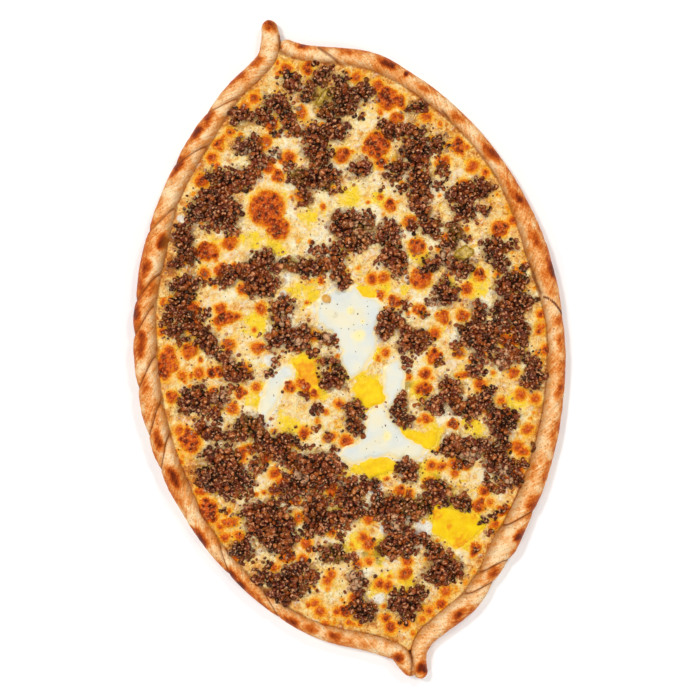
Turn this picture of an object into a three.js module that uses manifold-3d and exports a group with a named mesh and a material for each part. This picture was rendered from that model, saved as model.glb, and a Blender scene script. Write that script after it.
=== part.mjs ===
// Turkish pide: a boat-shaped flatbread with a rope-like rolled rim that ends in two small nubs.
// It is filled with a bed of melted cheese that carries heaps of minced meat, pools of egg white
// and yolk, and two strips of pepper. Millimetres, +Z up, the long axis along Y.

import * as THREE from 'three';
import { mergeVertices } from 'three/addons/utils/BufferGeometryUtils.js';
import Module from 'manifold-3d';

const wasm = await Module();
wasm.setup();

// Overall outline: two circular arcs that lean a little to one side.
const HALF_WIDTH = 115.2;
const HALF_LENGTH = 174.2;
const ARC_RADIUS = (HALF_LENGTH ** 2 + HALF_WIDTH ** 2) / (2 * HALF_WIDTH);
const ARC_CENTRE = ARC_RADIUS - HALF_WIDTH;
const LEAN = 0.057;

// Levels of the layers.
const SLAB_TOP = 5;
const CHEESE_SHOULDER = 7.3;
const CHEESE_TOP = 8.5;
const CHEESE_SLOPE = 9;
const GAP = 0.3;

// The rolled rim: its section, and how much a lobe swells and a seam pinches.
const ROLL_SIDES = 10;
const ROLL_STEP = 12;
const ROLL_BASE_HEIGHT = 4.6;
const ROLL_HEIGHT_PER_WIDTH = 1.55;
const ROLL_SINK = 0.6;
const LOBE_SWELL = 0.07;
const SEAM_PINCH = 0.11;
const END_TAPER = 30;

// Each roll runs clockwise seen from above. Its half width is given at some places along Y, and
// so are the seams of the twist, at the middle of the roll.
const LEFT_ROLL = {
  side: -1,
  lean: 0.052,
  start: [[-7, -177], [-9, -170.5], [-12, -163.5], [-20.5, -157.4], [-31, -151.8], [-43, -146.5]],
  arcFrom: -134,
  arcTo: 148,
  end: [[-15, 156], [-8, 161], [-4.4, 166.5], [-2.9, 172.5], [-2.5, 181]],
  halfWidths: [
    [-176, 3.4], [-168, 4.4], [-158, 5], [-146, 4.5], [-130, 3.9], [-100, 4.1], [-75, 4.5],
    [-50, 5.5], [0, 6.1], [25, 6.3], [50, 5.7], [70, 6.3], [85, 5.9], [100, 5.2], [130, 5.7],
    [148, 4.8], [160, 4.9], [168, 5.4], [174, 4.7], [181, 4.1],
  ],
  seams: [-161, -122, -93, -56, -31, -12, 13, 40.5, 57, 90, 120, 142],
  shear: 16,
};
const RIGHT_ROLL = {
  side: 1,
  lean: 0.063,
  start: [[1.5, 168], [5, 164], [11, 160.3], [20, 156.8], [31, 153.2]],
  arcFrom: 146,
  arcTo: -136,
  end: [
    [32.5, -144], [22, -149.6], [11.5, -154.6], [3.6, -159], [-1, -165], [-2.3, -171], [-2.8, -179.6],
  ],
  halfWidths: [
    [168, 4], [155, 4.7], [145, 4.9], [130, 4.4], [105, 4.2], [80, 4.1], [60, 4.8], [30, 6.1],
    [10, 5.8], [-10, 4.8], [-50, 5.3], [-80, 5.7], [-110, 6.2], [-120, 6.8], [-132, 5.3],
    [-150, 5.6], [-160, 4.8], [-170, 4], [-180, 3.8],
  ],
  seams: [-139.5, -129, -108, -56],
  shear: 14,
};

// Heaps of minced meat: each lobe is an ellipse [x, y, length, width, turn in degrees].
const MINCE_RISE = 2.9;
const MINCE_WALL = 1.5;
const MINCE_BROAD = 11;
const MINCE_HEAPS = [
  [[1.5, 145, 11, 8, 105]],
  [[18.5, 145.5, 15, 7, 28], [10, 138.5, 11, 7, 42]],
  [
    [29, 140.5, 8, 6, -20], [27, 134, 13, 11, 10], [27, 126.5, 15, 10, 12], [38, 131.5, 11, 10, 0],
    [16, 125.5, 9, 8, 0], [19, 116, 12, 14, 0], [7.5, 115.5, 13, 11, 0], [7, 106, 15, 13, -10],
  ],
  [
    [-8, 136, 14, 9, -25], [-4, 126.5, 9, 14, 0], [-16.5, 132, 9, 10, 0], [-24, 132.5, 9, 5, 0],
    [-30, 133.5, 7, 11, 0],
  ],
  [[-24.5, 114.5, 9, 15, 0], [-31, 119, 10, 7, 20]],
  [
    [-49, 106.5, 11, 7, -10], [-36, 102.5, 21, 9, 0], [-50, 98, 16, 8, 10], [-57, 90, 22, 15, 0],
    [-47, 86, 14, 17, 0],
  ],
  [[-72.5, 79, 12, 11, 20], [-72, 69.5, 9, 12, 0], [-79.5, 66, 12, 6, 35]],
  [[-6, 95.5, 12, 8, -15], [7, 92.5, 20, 11, 0], [-4.5, 85.5, 7, 12, 0]],
  [[28, 92.5, 12, 9, 0]],
  [[63.5, 117, 13, 6.5, -10]],
  [
    [48.5, 108.5, 15, 9, -35], [60, 105, 10, 8, 0], [58, 94, 15, 16, 0], [46.5, 88, 12, 8, 0],
    [70, 95.5, 11, 8, -20], [56, 79, 13, 16, 0], [54, 69, 11, 12, 0], [55, 61.5, 8, 8, 0],
    [56, 54, 12, 12, 0],
  ],
  [[15, 65, 22, 14, -10], [17, 56, 22, 11, -5], [34, 56, 14, 11, 0], [34, 42, 12, 20, 0]],
  [[81, 66.5, 25, 11, 0], [76, 58, 13, 9, 0]],
  [
    [68, 48, 9, 10, 0], [64.5, 41.5, 8, 8, 0], [60, 35.5, 9, 9, 0], [53.5, 34, 11, 8, -15],
    [68, 29, 15, 8, -20],
  ],
  [[56, 18, 13, 14, 0]],
  [[86, 35, 11, 12, 0], [89, 26, 12, 8, -60]],
  [[91, 14, 19, 10, 10], [90, 3, 24, 12, 0], [90, -11, 10, 16, 0], [82, -23, 18, 10, 10]],
  [[71, 4, 9, 11, 0], [69, -9, 24, 16, -20]],
  [[25, 12, 12, 8, -20], [20.5, 6, 9, 10, -30], [30, 5, 7, 9, 0], [34.5, -3.5, 18, 12, 0]],
  [
    [-77, 54, 19, 8, 0], [-81, 46, 19, 10, 25], [-86, 40.5, 14, 7, 0], [-80, 34, 10, 12, 0],
    [-88, 31, 11, 7, -30], [-74, 23, 11, 19, 20], [-66.5, 11.5, 16, 6, -45], [-62, 1.5, 15, 10, -20],
  ],
  [
    [-54, 52, 13, 9, 20], [-44, 53.5, 14, 9, 0], [-34, 57, 11, 12, 40], [-38, 45, 19, 14, -10],
    [-26, 51.5, 11, 5, -10],
  ],
  [[-9, 47, 21, 10, -8], [4, 49, 9, 13, 0], [4, 38, 7, 13, 20]],
  [
    [-29.5, 30, 12, 9, 0], [-32.5, 21, 9, 13, 0], [-36.5, 13.5, 12, 9, 0], [-24, 12, 16, 14, 0],
    [-12, 9, 15, 7, -25],
  ],
  [[-86, -6.5, 18, 13, 0], [-94, -11, 8, 5, -20], [-75, -10, 15, 8, -10]],
  [[-12, -4, 10, 7, 0], [-8.5, -12, 8, 14, 0], [-15, -14, 11, 9, -10]],
  [[-84, -24, 12, 8, -35]],
  [
    [-61, -28, 17, 13, -20], [-73, -30, 14, 6, 5], [-53, -40, 21, 13, -30], [-43, -40, 10, 9, 0],
    [-46, -48, 9, 7, 0], [-35, -53, 28, 10, -10], [-30, -59, 20, 18, 0], [-42, -63.5, 20, 12, 0],
  ],
  [[-86, -37, 11, 7, 0], [-78, -41, 18, 12, -20], [-81, -51, 30, 16, -15]],
  [[-66, -73, 24, 11, -5], [-65, -81, 21, 16, 0], [-60, -90, 20, 13, 0], [-54, -82, 10, 16, 0]],
  [[-37, -81, 15, 23, 0], [-22, -85, 22, 10, 0], [-18, -76, 15, 17, 0]],
  [[-5, -32.5, 10, 10, 0], [-6, -41, 8, 9, 0]],
  [[-5, -72, 8, 10, 0]],
  [[-79, -90, 12, 10, -30]],
  [[1, -85, 23, 12, 0], [2.5, -95, 12, 14, 0], [16, -90, 17, 13, 0], [28, -84, 13, 14, 0]],
  [[15, -70, 11, 14, 15]],
  [[39.5, -94, 9, 11, 0]],
  [
    [43, -61, 14, 8, -20], [49, -65.5, 28, 10, -5], [62, -75, 13, 16, 0], [70, -54, 16, 14, 0],
    [68.5, -65, 9, 14, 0],
  ],
  [[47, -34, 11, 17, 0], [36.5, -38.5, 13, 9, -10], [53, -45, 14, 9, -25], [62, -43, 13, 9, 20]],
  [[17, -38, 9, 9, 0], [19, -43.5, 10, 8, -50], [21, -32.5, 7, 8, 0]],
  [[93, -29.5, 9, 9, 0], [92, -37.5, 10, 12, 0]],
  [[8, -106.5, 13, 9, 20], [-4, -107.5, 14, 9, -20]],
  [[19, -115, 10, 12, 0], [22, -126, 21, 13, 0]],
  [[-3, -138, 18, 14, 0], [5, -134.5, 9, 9, 0]],
  [[-25, -136.5, 12, 12, 0], [-24.5, -123, 8, 19, 0]],
  [[-62, -115, 18, 17, 20], [-66, -121.5, 10, 6, 0], [-55, -106.5, 16, 6, 0], [-48, -112, 6, 13, 0]],
  [[-33.5, -104, 15, 8, -10]],
];

// Pools of egg and strips of pepper: closed smooth outlines through a few points, and a height.
const POOLS = {
  yolk_upper: {
    rise: 1.4,
    outline: [[10.8, 30.8], [13, 31.2], [17, 29.3], [20.5, 25.5], [19.5, 24], [15, 26]],
  },
  yolk_drop: {
    rise: 1.6,
    outline: [[-2, -20], [4, -17], [10, -19], [12.6, -25], [12, -32], [5, -31.5], [0, -33], [-1, -27]],
  },
  yolk_band: {
    rise: 1.5,
    outline: [
      [15, -44.5], [20, -50], [29, -54], [36, -51.5], [34, -58], [30, -61.5], [23, -56.5], [17, -51],
    ],
  },
  yolk_bar: {
    rise: 1.5,
    outline: [[-9, -60], [-2, -59], [6, -62], [11, -64], [9, -67], [2, -68], [-4, -69.5], [-8, -64]],
  },
  yolk_left: {
    rise: 1.4,
    outline: [[-31, 1], [-25, 2.5], [-20.5, -2], [-20.8, -12], [-20, -20], [-26, -17], [-29, -8]],
  },
  yolk_lower: {
    rise: 1.8,
    outline: [
      [25, -91.5], [33, -95], [45, -101], [46.5, -109], [38, -113], [33, -117], [27, -111], [21, -104],
    ],
  },
  pepper_top: { rise: 2, outline: [[11, 131.8], [14, 135.2], [20, 137.2], [19.5, 133.6], [15, 131]] },
  pepper_right: {
    rise: 2.2,
    outline: [[65.5, 35.5], [68, 38.8], [74, 39.5], [75.5, 36], [73, 32], [69, 33.5]],
  },
};
const EGG_WHITES = {
  egg_white_upper: {
    rise: 1.2,
    outline: [
      [-12, 27], [-6, 32], [2, 32], [9, 34], [12, 30], [20, 24], [21.5, 18], [16, 8], [14, -1], [7, -9],
      [-1, -15], [-5, -6], [-5, 5], [-12, 17],
    ],
  },
  egg_white_right: {
    rise: 1,
    outline: [[14.5, -20], [17, -12], [22, -12.5], [25, -19], [23, -26], [18, -29], [14, -34], [14, -27]],
  },
  egg_white_lower: {
    rise: 1.2,
    outline: [
      [3, -35], [8, -32.5], [13, -34], [13, -42], [17, -51], [29, -61], [21, -64], [10, -61], [0, -58],
      [-12, -59], [-20, -51.5], [-8, -50.5], [-2, -45],
    ],
  },
  egg_white_left: {
    rise: 0.9,
    outline: [
      [-33, -1], [-33, -6], [-41, -10], [-43, -18], [-50, -24], [-53, -29], [-54, -23], [-48, -9], [-41, -2],
    ],
  },
};
const POOL_POINTS = 11;
const WHITE_POINTS = 15;
const POOL_BEVEL = 0.7;

const MATERIALS = {
  crust: { color: 0xdba566, roughness: 0.75 },
  cheese: { color: 0xf0cf86, roughness: 0.45 },
  mince: { color: 0x4a2518, roughness: 0.5 },
  yolk: { color: 0xf6c21c, roughness: 0.25 },
  white: { color: 0xf0eee6, roughness: 0.3 },
  pepper: { color: 0x9a9433, roughness: 0.35 },
};

// ---------------------------------------------------------------------------------------------
// Solids: closed meshes to and from manifold-3d.

function toSolid(geometry) {
  const bare = new THREE.BufferGeometry();
  bare.setAttribute('position', geometry.getAttribute('position'));
  if (geometry.index) bare.setIndex(geometry.index);
  const merged = mergeVertices(bare, 1e-4);
  return new wasm.Manifold(new wasm.Mesh({
    numProp: 3,
    vertProperties: new Float32Array(merged.getAttribute('position').array),
    triVerts: new Uint32Array(merged.index.array),
  }));
}

function largestPiece(solid) {
  return solid.decompose().reduce((best, piece) => (piece.volume() > best.volume() ? piece : best));
}

function toMesh(name, solid, look) {
  const { numProp, vertProperties, triVerts } = solid.getMesh();
  const positions = [];
  for (let v = 0; v < vertProperties.length; v += numProp) {
    positions.push(vertProperties[v], vertProperties[v + 1], vertProperties[v + 2]);
  }
  const geometry = new THREE.BufferGeometry();
  geometry.setAttribute('position', new THREE.Float32BufferAttribute(positions, 3));
  geometry.setIndex([...triVerts]);
  geometry.computeVertexNormals();
  const mesh = new THREE.Mesh(geometry, new THREE.MeshStandardMaterial(MATERIALS[look]));
  mesh.name = name;
  return mesh;
}

// The end cap of an upright body may be any outline; that of a roll is a small convex ring.
const flatCap = (ring) => THREE.ShapeUtils.triangulateShape(ring.map((p) => new THREE.Vector2(p.x, p.y)), []);
const fanCap = (ring) => ring.slice(2).map((_, k) => [0, k + 1, k + 2]);

// A closed body through rings of equally many points, counter-clockwise seen from the last ring.
function loft(rings, cap = flatCap) {
  const count = rings[0].length;
  const last = (rings.length - 1) * count;
  const index = [];
  for (let start = 0; start < last; start += count) {
    for (let k = 0; k < count; k += 1) {
      const a = start + k;
      const b = start + ((k + 1) % count);
      index.push(a, b, b + count, a, b + count, a + count);
    }
  }
  for (const [a, b, c] of cap(rings[0])) index.push(c, b, a);
  for (const [a, b, c] of cap(rings.at(-1))) index.push(last + a, last + b, last + c);
  const geometry = new THREE.BufferGeometry().setFromPoints(rings.flat());
  geometry.setIndex(index);
  return toSolid(geometry);
}

// The outline moved outward by a distance (inward if negative), at one height.
function ringAt(outline, outward, z) {
  return outline.map((point, k) => {
    const before = outline.at(k - 1);
    const after = outline[(k + 1) % outline.length];
    const along = new THREE.Vector2().subVectors(after, before).normalize();
    return new THREE.Vector3(point.x + along.y * outward, point.y - along.x * outward, z);
  });
}

// ---------------------------------------------------------------------------------------------
// The bread: a flat slab joined with two twisted rolls.

function interpolate(table, at) {
  const rows = table[0][0] < table.at(-1)[0] ? table : [...table].reverse();
  const next = rows.findIndex(([place]) => place >= at);
  if (next === 0) return rows[0][1];
  if (next < 0) return rows.at(-1)[1];
  const [lowPlace, low] = rows[next - 1];
  const [highPlace, high] = rows[next];
  return THREE.MathUtils.mapLinear(at, lowPlace, highPlace, low, high);
}

function rollPath(roll) {
  const arc = [];
  const steps = 14;
  for (let i = 0; i <= steps; i += 1) {
    const y = THREE.MathUtils.lerp(roll.arcFrom, roll.arcTo, i / steps);
    const radius = ARC_RADIUS - interpolate(roll.halfWidths, y);
    const reach = Math.sqrt(radius ** 2 - y ** 2) - ARC_CENTRE;
    arc.push([roll.lean * y + roll.side * reach, y]);
  }
  const points = [...roll.start, ...arc, ...roll.end].map(([x, y]) => new THREE.Vector3(x, y, 0));
  const path = new THREE.CatmullRomCurve3(points, false, 'centripetal');
  path.arcLengthDivisions = 800;
  return path;
}

// Distances along the roll: at each seam, evenly between the seams, and closer at the round ends.
function rollStations(roll, path) {
  const length = path.getLength();
  const samples = 800;
  const heights = path.getSpacedPoints(samples).map((point) => point.y);
  const seamAt = (y) => {
    const misses = heights.map((height) => Math.abs(height - y));
    return (misses.indexOf(Math.min(...misses)) / samples) * length;
  };
  const firstRadius = interpolate(roll.halfWidths, path.getPointAt(0).y);
  const lastRadius = interpolate(roll.halfWidths, path.getPointAt(1).y);
  const seams = roll.seams.map(seamAt).sort((a, b) => a - b);
  const fences = [firstRadius, ...seams, length - lastRadius];
  const stations = [{ s: 0.12 * firstRadius, lobe: 0 }, { s: 0.45 * firstRadius, lobe: 0 }];
  for (let i = 0; i + 1 < fences.length; i += 1) {
    const span = fences[i + 1] - fences[i];
    const parts = Math.max(2, Math.round(span / ROLL_STEP));
    for (let part = 0; part < parts; part += 1) {
      const atSeam = part === 0 && i > 0;
      const swell = LOBE_SWELL * Math.min(1, 25 / span) * Math.sin((Math.PI * part) / parts);
      stations.push({ s: fences[i] + (span * part) / parts, lobe: atSeam ? -SEAM_PINCH : swell });
    }
  }
  for (const back of [1, 0.45, 0.12]) stations.push({ s: length - back * lastRadius, lobe: 0 });
  return stations;
}

// How full the roll is at a distance from its nearest end: a round nose one half width long.
function noseScale(distance, halfWidth) {
  const short = Math.max(0, 1 - distance / halfWidth);
  return Math.sqrt(1 - short ** 2);
}

function rollSolid(roll, grow = 0) {
  const path = rollPath(roll);
  const length = path.getLength();
  const rings = rollStations(roll, path).map(({ s, lobe }) => {
    const fromEnd = Math.min(s, length - s);
    const shear = roll.shear * Math.min(1, fromEnd / END_TAPER) ** 2;
    const ring = [];
    for (let k = 0; k < ROLL_SIDES; k += 1) {
      const turn = (-2 * Math.PI * (k + 0.5)) / ROLL_SIDES;
      const across = Math.sin(turn);
      const u = THREE.MathUtils.clamp((s - 0.5 * shear * across) / length, 0, 1);
      const centre = path.getPointAt(u);
      const along = path.getTangentAt(u);
      const half = interpolate(roll.halfWidths, centre.y);
      const halfHeight = 0.5 * (ROLL_BASE_HEIGHT + ROLL_HEIGHT_PER_WIDTH * half);
      const scale = noseScale(fromEnd, half);
      const reach = half * scale * (1 + lobe) + grow;
      const lift = halfHeight * Math.sqrt(scale) * (1 + lobe) + grow;
      ring.push(new THREE.Vector3(
        centre.x - along.y * reach * across,
        centre.y + along.x * reach * across,
        Math.max(0, halfHeight - ROLL_SINK + lift * Math.cos(turn)),
      ));
    }
    return ring;
  });
  return loft(rings, fanCap);
}

// The closed line through the middles of both rolls, counter-clockwise.
function middleLine(points) {
  const trimmed = (roll) => {
    const path = rollPath(roll);
    const line = [];
    for (let i = 0; i <= points; i += 1) line.push(path.getPointAt(0.02 + (0.95 * i) / points));
    return line;
  };
  const clockwise = [...trimmed(LEFT_ROLL), ...trimmed(RIGHT_ROLL)];
  return clockwise.reverse().map((p) => new THREE.Vector2(p.x, p.y));
}

function makeBread() {
  const middle = middleLine(22);
  const slab = loft([ringAt(middle, 0, 0), ringAt(middle, 0, SLAB_TOP)]);
  return slab.add(rollSolid(LEFT_ROLL)).add(rollSolid(RIGHT_ROLL));
}

// ---------------------------------------------------------------------------------------------
// The cheese bed: it slopes down to the rim, and keeps clear of the rolls.

// The outline drawn in towards the long axis by a share of its width and of its length.
function drawnIn(outline, inset, z) {
  return outline.map(({ x, y }) => {
    const axis = LEAN * y;
    const sideways = 1 - inset / HALF_WIDTH;
    const endways = 1 - inset / HALF_LENGTH;
    return new THREE.Vector3((axis + (x - axis) * sideways) * endways, y * endways, z);
  });
}

function makeCheese() {
  const middle = middleLine(24);
  const bed = loft([
    drawnIn(middle, 0, SLAB_TOP),
    drawnIn(middle, 0, CHEESE_SHOULDER),
    drawnIn(middle, CHEESE_SLOPE, CHEESE_TOP),
  ]);
  const clear = bed.subtract(rollSolid(LEFT_ROLL, GAP)).subtract(rollSolid(RIGHT_ROLL, GAP));
  return largestPiece(clear);
}

// ---------------------------------------------------------------------------------------------
// Toppings: mince heaps, pools of egg and pepper. All of them rest on the top of the cheese.

// One lobe of a heap: a low mound on a lumpy ellipse. grow widens it all round.
function mound([x, y, length, width, turnDegrees], seed, grow) {
  const turn = THREE.MathUtils.degToRad(turnDegrees);
  const sides = Math.round(THREE.MathUtils.clamp(2.3 + 0.115 * (length + width), 5, 7));
  const fuller = 1 / Math.cos(Math.PI / sides);
  const bottom = CHEESE_TOP - (grow > 0 ? 1 : 0);
  const rise = MINCE_RISE * Math.min(1, 0.6 + 0.04 * width) + grow;
  const ring = (spread, z) => {
    const points = [];
    for (let k = 0; k < sides; k += 1) {
      const angle = (2 * Math.PI * k) / sides;
      const lump = fuller * (1 + 0.07 * Math.sin(2.7 * k + 1.9 * seed));
      const along = (0.5 * length * lump * spread + grow) * Math.cos(angle);
      const across = (0.5 * width * lump * spread + grow) * Math.sin(angle);
      points.push(new THREE.Vector3(
        x + along * Math.cos(turn) - across * Math.sin(turn),
        y + along * Math.sin(turn) + across * Math.cos(turn),
        z,
      ));
    }
    return points;
  };
  const wall = CHEESE_TOP + (width < MINCE_BROAD ? 0 : MINCE_WALL) + grow;
  const foot = wall > bottom ? [ring(1, bottom), ring(1, wall)] : [ring(1, bottom)];
  return loft([...foot, ring(0.6, CHEESE_TOP + rise)]);
}

function heap(lobes, grow = 0) {
  const mounds = lobes.map((lobe, k) => mound(lobe, lobe[0] + k, grow));
  return mounds.reduce((whole, part) => whole.add(part));
}

function pool({ outline, rise }, count, grow = 0) {
  const corners = outline.map(([x, y]) => new THREE.Vector3(x, y, 0));
  const curve = new THREE.CatmullRomCurve3(corners, true, 'centripetal');
  const points = curve.getSpacedPoints(count).slice(0, count).map((p) => new THREE.Vector2(p.x, p.y));
  if (THREE.ShapeUtils.area(points) < 0) points.reverse();
  return loft([
    ringAt(points, grow, CHEESE_TOP - (grow > 0 ? 1 : 0)),
    ringAt(points, grow, CHEESE_TOP + rise - POOL_BEVEL + grow),
    ringAt(points, grow - POOL_BEVEL, CHEESE_TOP + rise + grow),
  ]);
}

// ---------------------------------------------------------------------------------------------
// Assembly. Each topping is cut 0.3 mm clear of the ones laid before it.

const pide = new THREE.Group();
const rolls = [rollSolid(LEFT_ROLL, GAP), rollSolid(RIGHT_ROLL, GAP)];
const taken = [...rolls];

function lay(name, solid, grown, look) {
  const clear = taken.reduce((rest, other) => rest.subtract(other), solid);
  pide.add(toMesh(name, largestPiece(clear), look));
  taken.push(grown);
}

pide.add(toMesh('bread', makeBread(), 'crust'));
pide.add(toMesh('cheese', makeCheese(), 'cheese'));
for (const [name, shape] of Object.entries(POOLS)) {
  const look = name.startsWith('yolk') ? 'yolk' : 'pepper';
  lay(name, pool(shape, POOL_POINTS), pool(shape, POOL_POINTS, GAP), look);
}
MINCE_HEAPS.forEach((lobes, k) => {
  lay(`mince_${String(k + 1).padStart(2, '0')}`, heap(lobes), heap(lobes, GAP), 'mince');
});
for (const [name, shape] of Object.entries(EGG_WHITES)) {
  lay(name, pool(shape, WHITE_POINTS), pool(shape, WHITE_POINTS, GAP), 'white');
}

// The middle of the box over the bottom face is the origin.
const middle = new THREE.Box3().setFromObject(pide).getCenter(new THREE.Vector3());
pide.position.set(-middle.x, -middle.y, 0);
pide.updateMatrixWorld(true);

export default pide;
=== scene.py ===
"""A turkish pide: bread with a twisted rim, melted cheese, minced meat, egg and pepper."""

import math
from collections import Counter
from typing import NamedTuple

import bmesh
import bpy
import numpy as np
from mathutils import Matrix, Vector
from mathutils.kdtree import KDTree


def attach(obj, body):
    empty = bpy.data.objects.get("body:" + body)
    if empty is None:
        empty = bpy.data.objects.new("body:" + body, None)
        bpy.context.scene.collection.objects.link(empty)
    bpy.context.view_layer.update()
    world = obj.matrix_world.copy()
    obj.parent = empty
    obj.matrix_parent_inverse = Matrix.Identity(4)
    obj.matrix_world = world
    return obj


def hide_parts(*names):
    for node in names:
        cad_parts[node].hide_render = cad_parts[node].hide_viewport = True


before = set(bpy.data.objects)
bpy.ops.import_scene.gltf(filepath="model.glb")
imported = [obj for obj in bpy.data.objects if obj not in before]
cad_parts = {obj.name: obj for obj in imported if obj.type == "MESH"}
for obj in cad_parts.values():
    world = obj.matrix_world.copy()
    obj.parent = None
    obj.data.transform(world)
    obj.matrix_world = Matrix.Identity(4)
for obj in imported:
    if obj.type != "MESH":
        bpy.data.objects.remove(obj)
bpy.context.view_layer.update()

# ---------------------------------------------------------------------------------------------
# Sizes, in millimetres, in the layout that the CAD model had before it was centred.

LAYOUT_SHIFT = np.array([0.116, -0.672, 0.0])
HALF_WIDTH = 115.2
HALF_LENGTH = 174.2
ARC_RADIUS = (HALF_LENGTH**2 + HALF_WIDTH**2) / (2 * HALF_WIDTH)
ARC_CENTRE = ARC_RADIUS - HALF_WIDTH
ARC_STEPS = 14

SLAB_TOP = 5.0
CHEESE_EDGE = 7.3
CHEESE_TOP = 8.5
CHEESE_SLOPE = 9.0
CHEESE_STEP = 0.8
CHEESE_INSET = 0.4
CHEESE_HALF_LENGTH = 164
CHEESE_UNDERSIDE = SLAB_TOP - 0.4
PATCH_UNDERSIDE = CHEESE_TOP - 2.2
CORE_STEP = 1.2

BROAD_BLISTER = 2.9
BUBBLE_SPACE = 2.6
BLISTER_TOP = 2.0
HIGHEST_BLISTER = 3.4
BLISTER_MARGIN = 4.5
FRECKLES = 560

ROLL_SIDES = 42
ROLL_STEP = 0.62
ROLL_END = 0.05
ROLL_BASE_HEIGHT = 4.6
ROLL_HEIGHT_PER_WIDTH = 1.55
ROLL_SINK = 0.6
END_TAPER = 30.0
LOBE_SWELL = 0.055
LOBE_LENGTH = 25.0
SEAM_PINCH = 0.035
SEAM_CREASE = 0.30
FAINT_SEAM = 0.35
PINCH_REACH = 4.5
LIP_AFTER = 2.2
LIP_BEFORE = 0.8
WRINKLE = 0.022
RIM_PARTS = 4

CRUMB = 2.3
FINE_CRUMB = 1.5
CRUMB_GROUPS = 5
HEAP_RISE = 2.3
BARE = -9.0
FRINGE_SPACING = 1.9
SPECKS = 560

# Crumbs on top of the bottom layer: chance, size, least and most height over it.
TOP_CRUMBS = [(0.42, CRUMB, 0.9, 1.7), (0.14, FINE_CRUMB, 0.6, 1.5)]

# The radii of the black specks, and the share of each.
SPECK_RADII = {0.2: 0.4, 0.27: 0.35, 0.34: 0.18, 0.45: 0.07}

# Ranges of x and of y over which small things are scattered.
CRUMB_AREA = ((-112, 112), (-150, 158))
FRINGE_AREA = ((-108, 108), (-150, 158))
FRECKLE_AREA = ((-108, 108), (-156, 158))
SPECK_AREA = ((-108, 108), (-158, 160))

WELL_INSIDE = 50.0
POOL_STEP = 0.7
POOL_RISE = {"egg_white": 0.42, "yolk": 0.55, "pepper": 1.7}
POOL_EDGE = {"egg_white": (-1.4, 1.2), "yolk": (-0.8, 0.7), "pepper": (-0.4, 1.0)}

# The two rolls of the rim. Their lines run on from start over the arc to end; half_widths
# lists y and the half width there, and seams lists the y of each seam between two lobes.

LEFT_ROLL = {
    "side": -1,
    "lean": 0.052,
    "start": [(-7, -177), (-9, -170.5), (-12, -163.5), (-20.5, -157.4), (-31, -151.8), (-43, -146.5)],
    "arc": (-134, 148),
    "end": [(-15, 156), (-8, 161), (-4.4, 166.5), (-2.9, 172.5), (-2.5, 181)],
    "half_widths": [
        (-176, 3.4), (-168, 4.4), (-158, 5), (-146, 4.5), (-130, 3.9), (-100, 4.1), (-75, 4.5),
        (-50, 5.5), (0, 6.1), (25, 6.3), (50, 5.7), (70, 6.3), (85, 5.9), (100, 5.2), (130, 5.7),
        (148, 4.8), (160, 4.9), (168, 5.4), (174, 4.7), (181, 4.1),
    ],
    "seams": [-161, -122, -93, -56, -31, -12, 13, 40.5, 57, 90, 120, 142],
    "faint": [-161, -56],
    "shear": 16,
}
RIGHT_ROLL = {
    "side": 1,
    "lean": 0.063,
    "start": [(1.5, 168), (5, 164), (11, 160.3), (20, 156.8), (31, 153.2)],
    "arc": (146, -136),
    "end": [
        (32.5, -144), (22, -149.6), (11.5, -154.6), (3.6, -159), (-1, -165), (-2.3, -171), (-2.8, -179.6),
    ],
    "half_widths": [
        (168, 4), (155, 4.7), (145, 4.9), (130, 4.4), (105, 4.2), (80, 4.1), (60, 4.8), (30, 6.1),
        (10, 5.8), (-10, 4.8), (-50, 5.3), (-80, 5.7), (-110, 6.2), (-120, 6.8), (-132, 5.3),
        (-150, 5.6), (-160, 4.8), (-170, 4), (-180, 3.8),
    ],
    "seams": [-139.5, -129, -108, -56],
    "faint": [-56],
    "shear": 14,
}

# Browned places on the rim: x, y, length, width, direction in degrees, strength.
CRUST_PATCHES = [
    (-13, 160, 9, 5, 30, 0.8), (-52, 131, 15, 5, 35, 1.0), (-44, 138, 9, 4, 25, 0.8),
    (-67, 115, 12, 5, 45, 0.9), (-84, 78, 9, 5, 60, 1.15), (-96, 66, 10, 5, 60, 0.9),
    (-94, 57, 10, 6, 60, 0.7), (-106, 45, 14, 5, 70, 0.9), (-107, 28, 14, 5, 75, 0.9),
    (-110, 8, 12, 4, 85, 0.6), (-110, -23, 12, 5, 95, 0.9), (-107, -44, 12, 6, 100, 1.2),
    (-106, -60, 10, 4, 100, 0.6), (-100, -80, 12, 6, 105, 1.15), (-89, -102, 10, 5, 115, 0.9),
    (-85, -109, 8, 5, 115, 1.1), (-76, -122, 10, 4, 125, 0.6), (-63, -134, 10, 5, 140, 0.9),
    (-54, -139, 9, 5, 145, 0.8), (-43, -146, 10, 5, 150, 0.9), (-28, -155, 9, 4, 150, 0.5),
    (-12, -166, 6, 5, 120, 0.9), (-2, -173, 8, 6, 90, 1.15), (24, -150, 11, 5, 30, 1.15),
    (47, -133, 12, 5, 38, 0.8), (64, -117, 9, 5, 45, 1.1), (74, -103, 12, 6, 55, 0.8),
    (86, -88, 12, 5, 60, 0.6), (95, -68, 12, 5, 65, 0.55), (104, -45, 14, 5, 75, 0.8),
    (109, -22, 12, 4, 80, 0.6), (114, 17, 13, 5, 95, 0.85), (109, 35, 13, 5, 105, 0.85),
    (106, 57, 5, 4, 110, 1.3), (104, 60, 14, 6, 112, 0.6), (97, 85, 15, 5, 118, 0.9),
    (84, 107, 12, 4, 130, 0.6), (70, 126, 12, 4, 140, 0.6), (54, 143, 10, 4, 145, 0.95),
    (36, 154, 10, 5, 160, 0.85), (22, 160, 9, 4, 160, 0.5), (12, 163, 8, 4, 160, 0.85),
    (-2, 178, 8, 7, 90, 0.95), (62.5, 135.5, 4, 2.5, 60, 1.7),
]

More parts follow.
